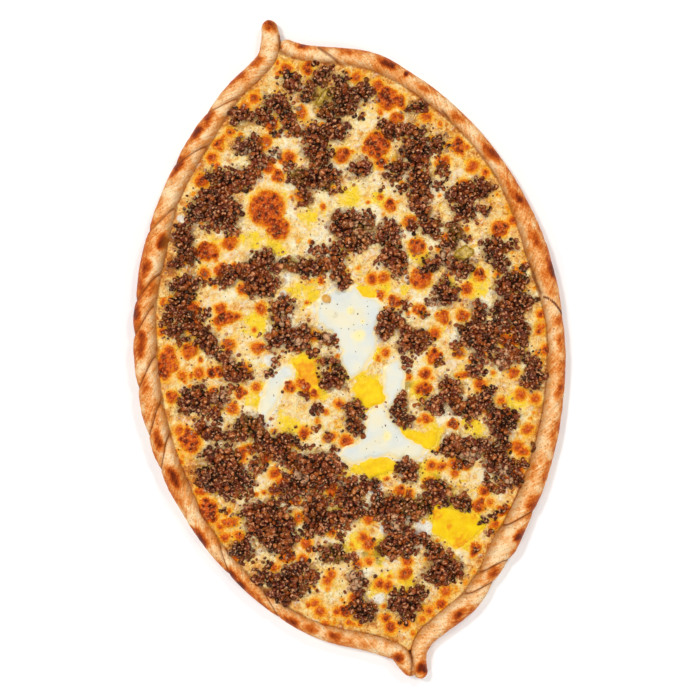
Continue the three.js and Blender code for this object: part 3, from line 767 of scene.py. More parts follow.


# ---------------------------------------------------------------------------------------------
# The cheese: one bed with blisters, stains, and dark spots of painted crevice shade.


class Cheese:
    """The uneven surface of the cheese, with its blisters."""

    def __init__(self):
        self.broad, self.fine, self.warp = Noise(1), Noise(2), Noise(3)
        rng = np.random.default_rng(4)
        self.blisters = []
        for x, y, width, *tall in BLISTERS:
            self.add_blister(rng, x, y, 0.5 * width, 0.5 * (tall or [width])[0])
        self.add_freckles(rng)

    def add_blister(self, rng, x, y, rx, ry):
        """One blister; a broad one is a low swelling covered with small bubbles."""
        broad = max(rx, ry) > BROAD_BLISTER
        strength = rng.uniform(0.86, 1.14)
        self.blisters.append((x, y, rx, ry, strength * (0.8 if broad else 1.0), 1.0))
        if not broad:
            return
        count = max(3, int(rx * ry / BUBBLE_SPACE))
        for angle, away in spiral(rng, count, 0.3):
            bx = x + rx * (0.86 * away) * math.cos(angle)
            by = y + ry * (0.86 * away) * math.sin(angle)
            size = rng.uniform(1.1, 2.1)
            tall = size * rng.uniform(0.85, 1.15)
            self.blisters.append((bx, by, size, tall, rng.uniform(0.85, 1.45), 0.0))

    def add_freckles(self, rng):
        """Small toasted dots, more of them near the rim."""
        x, y = random_places(rng, FRECKLE_AREA, FRECKLES * 2)
        rim = RIM.depth(x, y)
        chance = 0.3 + 0.45 * (1 - smoothstep(8, 30, rim))
        keep = (rim > 6) & (rng.random(len(x)) < chance) & (depth_in(EGG_NODES, x, y) < -2)
        for px, py in zip(x[keep][:FRECKLES], y[keep][:FRECKLES]):
            size = rng.uniform(0.55, 1.5)
            tall = size * rng.uniform(0.7, 1.3)
            self.blisters.append((px, py, size, tall, rng.uniform(0.5, 1.05), 0.4))

    def blister_shape(self, x, y):
        """The rise of the blisters in millimetres and how toasted they are, 0 to 1."""
        rise, toast = np.zeros(x.shape), np.zeros(x.shape)
        wx, wy = waver(self.warp, x, y, (50, 0), (0.45, 4.2), (0.2, 2.1))
        for bx, by, rx, ry, strength, halo in self.blisters:
            near = (np.abs(x - bx) < rx + BLISTER_MARGIN) & (np.abs(y - by) < ry + BLISTER_MARGIN)
            if not near.any():
                continue
            u, v = wx[near] - bx, wy[near] - by
            q = np.hypot(u / rx, v / ry)
            q = q * (1 + 0.1 * self.warp(9 + bx + 4 * u / rx, by + 4 * v / ry, 5))
            top = min(BLISTER_TOP, 0.15 + 0.24 * (rx + ry))
            dome = top * np.clip(1 - q**2.4, 0, 1) ** 0.6
            rise[near] = np.maximum(rise[near], dome) + 0.35 * np.minimum(rise[near], dome)
            past = (q - 1) * 0.5 * (rx + ry)
            heat = 0.68 - 0.2 * smoothstep(0.1, 1.0, q) - 0.18 * smoothstep(-0.7, 0.7, past)
            heat = heat - 0.3 * smoothstep(0.1, 1.0 + 2.8 * halo, past)
            toast[near] = np.maximum(toast[near], strength * heat)
        bubbly = smoothstep(0.3, 0.6, toast)
        rise = rise * (1 + 0.2 * self.fine(x, y, 1.6)) + 0.2 * bubbly * self.fine(x + 20, y, 1.5)
        return np.minimum(rise, HIGHEST_BLISTER), np.clip(toast, 0, 1)

    def surface(self, x, y, rim_depth):
        """The height of the cheese in millimetres and how toasted it is, 0 to 1."""
        base = CHEESE_EDGE + (CHEESE_TOP - CHEESE_EDGE) * smoothstep(0, CHEESE_SLOPE, rim_depth)
        rise, toast = self.blister_shape(x, y)
        return base + self.relief(x, y) * (1 - 0.5 * toast) + rise, toast

    def ground(self, x, y):
        """The height of the cheese under a topping."""
        return self.surface(x, y, RIM.depth(x, y))[0]

    def relief(self, x, y):
        """The uneven surface between the blisters: broad swells, curds and short strands."""
        wx, wy = waver(self.warp, x, y, (0, 30), (1.4, 5))
        swells = 0.2 * self.broad(x, y, 16) + 0.18 * self.broad(x, y, 6.5)
        curds = 0.26 * self.fine(wx, wy, 3.1) + 0.16 * self.fine(wx + 9, wy, 1.8)
        strands = 0.2 * np.abs(self.broad(wx * 1.6, wy, 2.6)) ** 0.7
        return swells + curds + strands


CHEESE = Cheese()


def grid_sheet(x, y, z, keep, within=True):
    """Points and faces of the grid cells whose corners are all kept, and the grid points used."""
    cells = keep[:-1, :-1] & keep[1:, :-1] & keep[:-1, 1:] & keep[1:, 1:] & within
    index = np.arange(keep.size).reshape(keep.shape)
    corners = (index[:-1, :-1], index[1:, :-1], index[1:, 1:], index[:-1, 1:])
    quads = np.stack([corner[cells] for corner in corners], axis=-1)
    used, packed = np.unique(quads, return_inverse=True)
    points = np.column_stack([x.ravel()[used], y.ravel()[used], z.ravel()[used]])
    return points, packed.reshape(quads.shape), used


def border_edges(quads):
    """The edges that only one face has."""
    edges = np.vstack([quads[:, [k, (k + 1) % 4]] for k in range(4)])
    seen = dict.fromkeys((int(p), int(q)) for p, q in edges)
    return [(p, q) for p, q in seen if (q, p) not in seen]


def border_loop(quads):
    """The points round the edge of a sheet, in order."""
    border = border_edges(quads)
    follow = dict(border)
    loop = [border[0][0]]
    while follow[loop[-1]] != loop[0]:
        loop.append(follow[loop[-1]])
    return loop


def build_cheese():
    """The bed of cheese: a sheet on a grid, with walls down to one flat face."""
    low, high = RIM.line.min(axis=0) - 1, RIM.line.max(axis=0) + 1
    xs, ys = np.arange(low[0], high[0], CHEESE_STEP), np.arange(low[1], high[1], CHEESE_STEP)
    x, y = np.meshgrid(xs, ys, indexing="ij")
    rim = RIM.depth(x, y)
    z, toast = CHEESE.surface(x, y, rim)
    within = np.abs(y[:-1, :-1]) < CHEESE_HALF_LENGTH
    top, quads, used = grid_sheet(x, y, z, rim > CHEESE_INSET, within)
    loop = border_loop(quads)
    bottom = top[loop]
    bottom[:, 2] = CHEESE_UNDERSIDE
    below = len(top) + np.arange(len(loop))
    walls = np.column_stack([loop, np.roll(loop, 1), np.roll(below, 1), below])
    values = cheese_values(top[:, 0], top[:, 1], toast.ravel()[used])
    faces = np.vstack([quads, walls])
    piece = make_piece("cheese_bed", np.vstack([top, bottom]), faces, with_zeros(values, len(bottom)))
    close_bottom(piece.data, below[::-1])
    return piece


def cheese_values(x, y, toast):
    """What the look of the cheese needs to know at each point."""
    noise = Noise(5)
    wobble = 0.35 * noise(x, y, 5) + 0.2 * noise(x, y, 2)
    clearance = RIM.clearance(x, y)
    # Yolk and white run a little way over the cheese round their pools.
    yolk_gap = 2.0 * noise(x + 60, y, 4) - depth_in(YOLK_NODES, x, y)
    white_gap = 2.0 * noise(x, y + 60, 3) - depth_in(WHITE_NODES, x, y)
    yolk_halo = 1.15 * (1 - smoothstep(0.0, 3.8, yolk_gap))
    white_halo = 0.95 * (1 - smoothstep(0.0, 3.6, white_gap))
    stain = np.maximum(spots(STAINS, x, y, wobble), yolk_halo)
    return {
        "toast": toast,
        "stain": stain + 1.3 * spots(YOLK_FILMS, x, y, wobble),
        "olive": spots(OLIVE_PLACES, x, y, wobble),
        "white": spots(WHITE_PLACES, x, y, wobble),
        "film": np.maximum(spots(FILM_PLACES, x, y, wobble), white_halo),
        "edge": 1 - 0.75 * smoothstep(-1, 12, clearance) - 0.25 * smoothstep(8, 45, clearance),
        # Painted shade along the foot of the rim.
        "contact_shade": 1 - smoothstep(-0.2, 1.6, clearance),
        # Brown of meat juice round the heaps, and painted shade of the heaps.
        "meat_juice_and_shade": smoothstep(-5.5, 1.0, depth_in(MINCE_NODES, x, y) + 1.6 * noise(x, y, 4)),
        "relief": CHEESE.relief(x, y),
    }


def close_bottom(mesh, ring):
    """One flat face through a ring of points, cut into triangles."""
    work = bmesh.new()
    work.from_mesh(mesh)
    work.verts.ensure_lookup_table()
    face = work.faces.new([work.verts[int(k)] for k in ring])
    face.smooth = False
    bmesh.ops.triangulate(work, faces=[face])
    work.to_mesh(mesh)
    work.free()


# ---------------------------------------------------------------------------------------------
# Patches: closed sheets on a grid, with walls down to a flat underside.


def patch_grid(nodes, step):
    """A grid of points over some nodes."""
    low = np.min([OUTLINES[node].low for node in nodes], axis=0) - 3
    high = np.max([OUTLINES[node].high for node in nodes], axis=0) + 3
    xs, ys = np.arange(low[0], high[0], step), np.arange(low[1], high[1], step)
    return np.meshgrid(xs, ys, indexing="ij")


def patch_mesh(x, y, z, keep):
    """The grid cells whose corners are all kept, closed below; also the grid points used."""
    top, quads, used = grid_sheet(x, y, z, keep)
    bottom = top.copy()
    bottom[:, 2] = PATCH_UNDERSIDE
    walls = [(q, p, p + len(top), q + len(top)) for p, q in sorted(border_edges(quads))]
    faces = np.vstack([quads, quads[:, ::-1] + len(top), walls])
    return np.vstack([top, bottom]), faces, used


# ---------------------------------------------------------------------------------------------
# Crumbs of meat and other grains: lumpy balls, many to a piece.


class Crumbs(NamedTuple):
    """A lot of crumbs: their middles, radii and heap numbers."""

    x: np.ndarray
    y: np.ndarray
    z: np.ndarray
    radius: np.ndarray
    heap: np.ndarray


def cube_sphere(cuts):
    """A ball of square cells, with shared points."""
    steps = np.tan(np.linspace(-1, 1, cuts + 1) * math.pi / 4)
    points, faces, seen = [], [], {}
    for axis in range(3):
        for sign in (-1, 1):
            grid = {}
            for i, u in enumerate(steps):
                for j, v in enumerate(steps):
                    p = np.zeros(3)
                    p[axis], p[(axis + 1) % 3], p[(axis + 2) % 3] = sign, u, v
                    key = tuple(np.round(p, 5))
                    if key not in seen:
                        seen[key] = len(points)
                        points.append(p / np.linalg.norm(p))
                    grid[i, j] = seen[key]
            for i in range(cuts):
                for j in range(cuts):
                    ring = [grid[i, j], grid[i + 1, j], grid[i + 1, j + 1], grid[i, j + 1]]
                    faces.append(ring if sign > 0 else ring[::-1])
    return np.array(points), np.array(faces)


def lumpy_balls(count, cuts, lumpiness, seed):
    """Shapes for crumbs: balls with a few bulges and dents each."""
    rng = np.random.default_rng(seed)
    ball, faces = cube_sphere(cuts)
    shapes = []
    for _ in range(count):
        radius = np.ones(len(ball))
        for _ in range(6):
            way = rng.normal(size=3)
            way /= np.linalg.norm(way)
            radius += rng.uniform(-0.6, 1.0) * lumpiness * np.exp((ball @ way - 1) / 0.22)
        shapes.append(ball * radius[:, None])
    return shapes, faces


# Shapes of crumbs for each number of cuts along the side of the cube.
CRUMB_SHAPES = {2: lumpy_balls(24, 2, 0.62, 32), 3: lumpy_balls(16, 3, 0.7, 42)}


def random_turns(rng, count):
    """Rotation matrices from random quaternions."""
    q = rng.normal(size=(count, 4))
    q /= np.linalg.norm(q, axis=1)[:, None]
    w, x, y, z = q.T
    return np.stack([
        np.stack([1 - 2 * (y * y + z * z), 2 * (x * y - z * w), 2 * (x * z + y * w)], -1),
        np.stack([2 * (x * y + z * w), 1 - 2 * (x * x + z * z), 2 * (y * z - x * w)], -1),
        np.stack([2 * (x * z - y * w), 2 * (y * z + x * w), 1 - 2 * (x * x + y * y)], -1),
    ], 1)


def scatter(shapes, faces, centres, radii, squash, rng, values):
    """All the grains as one set of points and triangles, and their values for every point."""
    count = len(centres)
    turns = random_turns(rng, count)
    stretch = rng.uniform(0.76, 1.26, (count, 3))
    kinds = rng.integers(0, len(shapes), count)
    balls = np.array(shapes)[kinds] * stretch[:, None, :]
    balls = np.einsum("nij,nkj->nki", turns, balls) * radii[:, None, None]
    balls[..., 2] *= squash
    points = (balls + centres[:, None, :]).reshape(-1, 3)
    size = len(shapes[0])
    starts = (np.arange(count) * size)[:, None, None]
    quads = (faces[None] + starts).reshape(-1, faces.shape[1])
    spread = {key: np.repeat(value, size) for key, value in values.items()}
    low = np.repeat(centres[:, 2] - radii, size)
    span = np.repeat(2 * radii, size)
    # How high each point is in its grain, 0 to 1; the mince look paints shade on the low parts by it.
    spread["up"] = np.clip((points[:, 2] - low) / span, 0, 1)
    return points, split_quads(quads), spread


def packed_places(rng, area, spacing, jitter):
    """Places on a shaken triangular grid."""
    xs = np.arange(*area[0], spacing)
    ys = np.arange(*area[1], spacing * math.sqrt(3) / 2)
    x, y = np.meshgrid(xs, ys)
    x = x + 0.5 * spacing * (np.arange(len(ys)) % 2)[:, None]
    x = x + rng.uniform(-jitter, jitter, x.shape) * spacing
    y = y + rng.uniform(-jitter, jitter, y.shape) * spacing
    return x.ravel(), y.ravel()


def shade_core_mesh(nodes):
    """A low dark core under the crumbs of some heaps, the painted shade seen in the gaps between them; it
    dips under the cheese at its edges.
    """
    x, y = patch_grid(nodes, CORE_STEP)
    depth = depth_in(nodes, x, y) + 0.5 * Noise(23)(x, y, 3)
    z = CHEESE.ground(x, y) - 0.9 + 2.2 * smoothstep(0.6, 4.4, depth)
    points, quads, _ = patch_mesh(x, y, z, depth > 0.2)
    return points, split_quads(quads)


def crumb_places(rng):
    """Where the crumbs of the heaps lie: place, depth inside the heap and heap number."""
    x, y = packed_places(rng, CRUMB_AREA, CRUMB, 0.24)
    best, second = np.full(len(x), -FAR), np.full(len(x), -FAR)
    owner = np.zeros(len(x), int)
    for k, node in enumerate(MINCE_NODES):
        depth = OUTLINES[node].depth(x, y)
        owner = np.where(depth > best, k, owner)
        second = np.maximum(second, np.minimum(best, depth))
        best = np.maximum(best, depth)
    # Most of the pepper is left bare.
    pepper = depth_in(PEPPER_NODES, x, y)
    best = np.where((pepper > 0.3) & (Noise(25)(x, y, 2.4) < 0.3), BARE, best)
    # Crumbs also fill the narrow gaps between neighbouring heaps.
    best = np.where((second > -1.7) & (best > BARE), np.maximum(best, 0.9), best)
    noise = Noise(21)
    edge = best + 1.1 * noise(x, y, 4.5) + 0.6 * noise(x, y, 2.2)
    keep = edge > -0.5 + 1.3 * rng.random(len(x))
    return x[keep], y[keep], best[keep], owner[keep]


def crumb_layers(rng):
    """Three lots of crumbs: a packed bottom layer, larger ones on it, and small ones over all."""
    x, y, depth, owner = crumb_places(rng)
    radius = 0.5 * CRUMB * rng.uniform(0.72, 1.35, len(x))
    rise = HEAP_RISE * smoothstep(-0.4, 4.2, depth) * (0.8 + 0.35 * Noise(22)(x, y, 4.5))
    z = CHEESE.ground(x, y) + rise + 0.35 * radius
    z = z + rng.uniform(-0.45, 0.55, len(x))
    layers = [Crumbs(x, y, z, radius, owner)]
    for chance, size, low, high in TOP_CRUMBS:
        on_top = (depth > 0.9) & (rng.random(len(x)) < chance)
        count = int(on_top.sum())
        layers.append(Crumbs(
            x[on_top] + rng.uniform(-1, 1, count),
            y[on_top] + rng.uniform(-1, 1, count),
            z[on_top] + rng.uniform(low, high, count),
            0.5 * size * rng.uniform(0.72, 1.3, count),
            owner[on_top],
        ))
    return layers


def crumb_mesh(layers, cuts, rng, veil_noise, sunk=0.0):
    """Points, triangles and values of layers of crumbs, each layer with its own fineness."""
    points, triangles, values = [], [], []
    first = 0
    for (x, y, z, radius, _), layer_cuts in zip(layers, cuts):
        veil = spots(VEILED_PLACES, x, y, 0.4 * veil_noise(x, y, 3)) * rng.uniform(-0.2, 1.1, len(x))
        veil = veil + sunk * rng.uniform(0, 0.7, len(x))
        tint = rng.random(len(x)) * (1 - 0.25 * sunk) + 0.25 * sunk
        tint = tint * (0.72 + 0.28 * smoothstep(10, 42, RIM.depth(x, y)))
        olive = spots(OLIVE_PLACES, x, y, 0 * x) * rng.uniform(-0.4, 1.0, len(x))
        own = {
            "tint": tint,
            "red": rng.random(len(x)),
            "veil": np.clip(veil, 0, 1),
            "olive": np.clip(olive, 0, 1),
            "sunk": sunk + 0 * x,
        }
        shapes, faces = CRUMB_SHAPES[layer_cuts]
        p, t, v = scatter(shapes, faces, np.column_stack([x, y, z]), radius, 0.92, rng, own)
        # A sunk crumb shows only its top, so it gets less of the painted shade on low parts.
        v["up"] = np.clip(v["up"] + 0.35 * v.pop("sunk"), 0, 1)
        points.append(p)
        triangles.append(t + first)
        values.append(v)
        first += len(p)
    merged = {key: np.concatenate([v[key] for v in values]) for key in values[0]}
    return np.vstack(points), np.vstack(triangles), merged


def build_mince():
    """The heaps of meat, some to a piece: crumbs over a core coloured as painted shade."""
    rng = np.random.default_rng(31)
    veil_noise = Noise(24)
    layers = crumb_layers(rng)
    pieces = []
    for g, group in enumerate(np.array_split(np.arange(len(MINCE_NODES)), CRUMB_GROUPS)):
        nodes = [MINCE_NODES[k] for k in group]
        mine = [Crumbs(*(part[np.isin(layer.heap, group)] for part in layer)) for layer in layers]
        points, triangles, values = crumb_mesh(mine, (2, 3, 2), rng, veil_noise)
        shade_core_points, shade_core_triangles = shade_core_mesh(nodes)
        triangles = np.vstack([triangles, shade_core_triangles + len(points)])
        # The core's values are all zero, which paints it in the darkest painted shade of the crumbs.
        points, values = np.vstack([points, shade_core_points]), with_zeros(values, len(shade_core_points))
        piece = make_piece(f"mince_heap_{g + 1}", points, triangles, values)
        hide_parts(*nodes)
        pieces.append(piece)
    return pieces


def cluster_places(rng):
    """Crumbs of the small clusters: place, height over the cheese, and 0 for not sunk."""
    places = []
    for cx, cy, length, width in LOOSE_CLUSTERS:
        count = max(2, int(ELLIPSE_SHARE * length * width / (0.72 * CRUMB**2)))
        for angle, away in spiral(rng, count, 0.35):
            away = away * rng.uniform(0.9, 1.15)
            lift = max(0, 0.22 * min(length, width) * (1 - 0.8 * away * away)) * rng.random()
            x = cx + 0.5 * length * away * math.cos(angle)
            y = cy + 0.5 * width * away * math.sin(angle)
            places.append((x, y, lift, 0))
    return places


def fringe_places(rng):
    """Small crumbs round the heaps: place, no height over the cheese, and 1 for sunk."""
    x, y = packed_places(rng, FRINGE_AREA, FRINGE_SPACING, 0.45)
    depth = depth_in(MINCE_NODES, x, y)
    chance = 0.3 * smoothstep(-4.5, -0.8, depth + 2.2 * Noise(43)(x, y, 7)) + 0.012
    keep = (depth < -0.4) & (depth_in(EGG_NODES, x, y) < -0.5) & (rng.random(len(x)) < chance)
    keep &= RIM.depth(x, y) > 8
    return [(px, py, 0.0, 1) for px, py in zip(x[keep], y[keep])]


def build_loose_crumbs():
    """Small clusters and single crumbs between the heaps, some half sunk in the cheese."""
    rng = np.random.default_rng(41)
    x, y, lift, sunk = np.array(cluster_places(rng) + fringe_places(rng)).T
    count = len(x)
    radius = 0.5 * CRUMB * rng.uniform(0.75, 1.25, count)
    radius = radius * np.where(sunk > 0, rng.uniform(0.3, 0.8, count), 1)
    share = np.where(sunk > 0, rng.uniform(-0.3, 0.5, count), rng.uniform(0.2, 0.7, count))
    layer = Crumbs(x, y, CHEESE.ground(x, y) + lift + radius * share, radius, None)
    points, triangles, values = crumb_mesh([layer], (2,), rng, Noise(44), sunk)
    # Loose crumbs get a little less of the painted shade on their low parts.
    values["up"] = np.clip(values["up"] + 0.18, 0, 1)
    return make_piece("loose_crumbs", points, triangles, values)


def build_specks():
    """Black pepper and herb specks over the cheese and egg."""
    rng = np.random.default_rng(51)
    shapes, faces = lumpy_balls(8, 1, 0.5, 52)
    x, y = random_places(rng, SPECK_AREA, SPECKS * 2)
    keep = (RIM.depth(x, y) > 6) & (depth_in(MINCE_NODES + YOLK_NODES, x, y) < -0.5)
    egg_x, egg_y = np.array(EGG_SPECKS).T
    x, y = np.append(x[keep][:SPECKS], egg_x), np.append(y[keep][:SPECKS], egg_y)
    on_egg = pool_depth(WHITE_NODES, x, y) > 0
    ground = np.where(on_egg, pool_top("egg_white", x, y), CHEESE.ground(x, y))
    radius = rng.choice(list(SPECK_RADII), len(x), p=list(SPECK_RADII.values()))
    centres = np.column_stack([x, y, ground + 0.25 * radius])
    values = {"tint": rng.random(len(x)), "veil": np.zeros(len(x))}
    points, triangles, values = scatter(shapes, faces, centres, radius, 0.7, rng, values)
    return make_piece("pepper_specks", points, triangles, values)


# ---------------------------------------------------------------------------------------------
# Pools of egg and strips of pepper: smooth sheets that dip under the cheese at their edges.

POOL_NOISE = Noise(61)


def pool_depth(nodes, x, y):
    """How far inside the wavering outlines of some pools a point is."""
    return depth_in(nodes, *waver(POOL_NOISE, x, y, (0, 40), (1.0, 6), (0.9, 2.6)))


def pool_top(kind, x, y):
    """The height of a pool away from its edges."""
    return CHEESE_TOP + 0.22 * CHEESE.broad(x, y, 16) + 0.15 + POOL_RISE[kind]


def build_pools(name, kind, nodes):
    """All the pools or strips of one kind as one piece."""
    x, y = patch_grid(nodes, POOL_STEP)
    depth = pool_depth(nodes, x, y)
    ground, _ = CHEESE.surface(x, y, np.full(x.shape, WELL_INSIDE))
    low, high = POOL_EDGE[kind]
    inside = smoothstep(low, high, depth)
    z = ground * (1 - inside) + pool_top(kind, x, y) * inside
    z = z - 0.6 * (1 - smoothstep(low - 0.6, low + 0.5, depth))
    if kind == "egg_white":
        for dx, dy, width in EGG_DOMES:
            away = np.hypot(x - dx, y - dy) / (0.5 * width)
            z = z + 0.32 * width * np.sqrt(np.clip(1 - away**2, 0, 1))
    points, quads, used = patch_mesh(x, y, z, depth > low - 0.7)
    px, py, _ = points[: len(used)].T
    wobble = 0.25 * POOL_NOISE(px, py, 2.2)
    values = {
        "depth": np.clip(depth.ravel()[used], -2, 8),
        "ring": spots(EGG_RINGS, px, py, wobble),
        "baked": spots(BAKED_YOLKS, px, py, wobble),
        "dome": spots(EGG_DOMES[:1], px, py, wobble),
    }
    piece = make_piece(name, points, quads, {key: np.tile(value, 2) for key, value in values.items()})
    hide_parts(*nodes)
    return piece


# ---------------------------------------------------------------------------------------------
# Materials.

WARM = (1.0, 0.76, 0.5, 1.0)
NEUTRAL = (1.0, 1.0, 1.0, 1.0)


def colour(value):
    """A linear colour from a hex number such as 0xffcc00; anything else passes through."""
    if not isinstance(value, int):
        return value
    channels = [((value >> shift) & 255) / 255 for shift in (16, 8, 0)]
    linear = [c / 12.92 if c <= 0.04045 else ((c + 0.055) / 1.055) ** 2.4 for c in channels]
    return (*linear, 1.0)


class Look:
    """Builds one material's nodes; its base colour grows by one cover after another."""

    def __init__(self, name):
        self.material = bpy.data.materials.new(name)
        self.material.use_nodes = True
        self.nodes = self.material.node_tree.nodes
        self.links = self.material.node_tree.links
        self.shader = self.nodes["Principled BSDF"]
        self.place = self.node("ShaderNodeTexCoord").outputs["Object"]
        self.base = None

    def node(self, kind, **inputs):
        node = self.nodes.new(kind)
        for name, value in inputs.items():
            self.feed(node.inputs[name.replace("_", " ")], value)
        return node

    def feed(self, socket, value):
        if isinstance(value, bpy.types.NodeSocket):
            self.links.new(value, socket)
        else:
            socket.default_value = value

    def attribute(self, name):
        node = self.nodes.new("ShaderNodeAttribute")
        node.attribute_name = name
        return node.outputs["Fac"]

    def noise(self, size_mm, detail=3.0, roughness=0.55, distortion=0.0):
        node = self.node(
            "ShaderNodeTexNoise", Vector=self.place, Scale=1000 / size_mm, Detail=detail,
            Roughness=roughness, Distortion=distortion,
        )
        return node.outputs["Fac"]

    def cells(self, size_mm):
        node = self.node("ShaderNodeTexVoronoi", Vector=self.place, Scale=1000 / size_mm)
        return node.outputs["Distance"]

    def streaks(self, stretch, size_mm):
        """Noise over the roll's own surface, drawn out round the roll."""
        place = self.node("ShaderNodeCombineXYZ", X=self.attribute("along"), Y=self.attribute("around"))
        node = self.nodes.new("ShaderNodeVectorMath")
        node.operation = "MULTIPLY"
        self.feed(node.inputs[0], place.outputs["Vector"])
        self.feed(node.inputs[1], (1.0, stretch, 1.0))
        noise = self.node(
            "ShaderNodeTexNoise", Vector=node.outputs[0], Scale=1 / size_mm, Detail=4.0, Roughness=0.6,
        )
        return noise.outputs["Fac"]

    def math(self, operation, a, b):
        node = self.nodes.new("ShaderNodeMath")
        node.operation = operation
        self.feed(node.inputs[0], a)
        self.feed(node.inputs[1], b)
        return node.outputs[0]

    def add(self, total, *values, clamp=False):
        """A sum of two or more values; it can be held between 0 and 1."""
        for value in values:
            total = self.math("ADD", total, value)
        total.node.use_clamp = clamp
        return total

    def less(self, a, b):
        return self.math("SUBTRACT", a, b)

    def times(self, a, b):
        return self.math("MULTIPLY", a, b)

    def centred(self, value, scale):
        """A noise value moved to swing round zero."""
        return self.times(self.less(value, 0.5), scale)

    def span(self, value, low, high, to_low=0.0, to_high=1.0):
        """A smooth step from one value to another."""
        node = self.node("ShaderNodeMapRange", Value=value)
        node.interpolation_type = "SMOOTHSTEP"
        node.inputs["From Min"].default_value = low
        node.inputs["From Max"].default_value = high
        node.inputs["To Min"].default_value = to_low
        node.inputs["To Max"].default_value = to_high
        return node.outputs["Result"]

    def patchy(self, name, grain, swing, *span):
        """A step in one of the mesh's own values, with an edge broken up by a noise."""
        return self.span(self.add(self.attribute(name), self.centred(grain, swing)), *span)

    def ramp(self, value, stops):
        node = self.node("ShaderNodeValToRGB", Fac=value)
        elements = node.color_ramp.elements
        while len(elements) > 1:
            elements.remove(elements[-1])
        elements[0].position, elements[0].color = stops[0][0], colour(stops[0][1])
        for position, shade in stops[1:]:
            elements.new(position).color = colour(shade)
        return node.outputs["Color"]

    def cover(self, shade, share):
        """Another colour over the base colour, by a share of 0 to 1."""
        node = self.nodes.new("ShaderNodeMix")
        node.data_type = "RGBA"
        self.feed(node.inputs["Factor"], share)
        self.feed(node.inputs["A"], self.base)
        self.feed(node.inputs["B"], colour(shade))
        self.base = node.outputs["Result"]

    def bump(self, *layers):
        """Layers of height: value, depth in millimetres."""
        normal = None
        for value, depth_mm in layers:
            node = self.node("ShaderNodeBump", Height=value, Strength=1.0, Distance=depth_mm / 1000)
            if normal is not None:
                self.links.new(normal, node.inputs["Normal"])
            normal = node.outputs["Normal"]
        self.links.new(normal, self.shader.inputs["Normal"])

    def finish(self, roughness, specular, tint=NEUTRAL):
        self.feed(self.shader.inputs["Base Color"], self.base)
        self.feed(self.shader.inputs["Roughness"], roughness)
        self.shader.inputs["Specular IOR Level"].default_value = specular
        self.shader.inputs["Specular Tint"].default_value = tint
        return self.material


def crust_look():
    look = Look("baked_crust")
    streaks, wrinkles = look.streaks(0.22, 1.6), look.streaks(0.35, 3.4)
    mottle = look.centred(look.noise(1.2, 5, 0.7), 0.65)
    blotch = look.centred(look.noise(5, 4, 0.62), 0.6)
    brown = look.add(look.attribute("brown"), look.centred(streaks, 0.6), mottle, blotch, clamp=True)
    look.base = look.ramp(brown, [
        (0.0, 0xFEDAA8), (0.12, 0xF6BE80), (0.25, 0xEA974B),
        (0.40, 0xD4691C), (0.58, 0xA84008), (0.85, 0x581802),
    ])
    fleck = look.span(look.noise(0.9, 2, 0.5), 0.61, 0.69)
    look.cover(0x7A340C, look.times(fleck, 0.6))
    look.cover(0x6A1C00, look.patchy("char", look.noise(1.6, 4, 0.7), 0.9, 0.12, 0.7, 0.0, 0.96))
    # Painted shade on the inner side of each roll, beside the cheese.
    look.cover(0xC07A30, look.times(look.attribute("inner_shade"), 0.55))
    # Painted shade in the seams and creases: a broad soft band and a narrow dark line.
    seam = look.add(look.attribute("seam"), look.centred(look.noise(2.5, 3, 0.6), 0.3))
    look.cover(0xB0662A, look.span(seam, 0.08, 0.8, 0.0, 0.55))
    look.cover(0x743006, look.span(seam, 0.5, 1.05, 0.0, 0.95))
    look.cover(0xE0B078, look.times(look.attribute("under"), 0.6))
    look.bump((wrinkles, 0.9), (streaks, 0.5), (look.noise(1.1, 5, 0.7), 0.45))
    return look.finish(look.span(brown, 0.2, 0.9, 0.6, 0.4), 0.16, WARM)


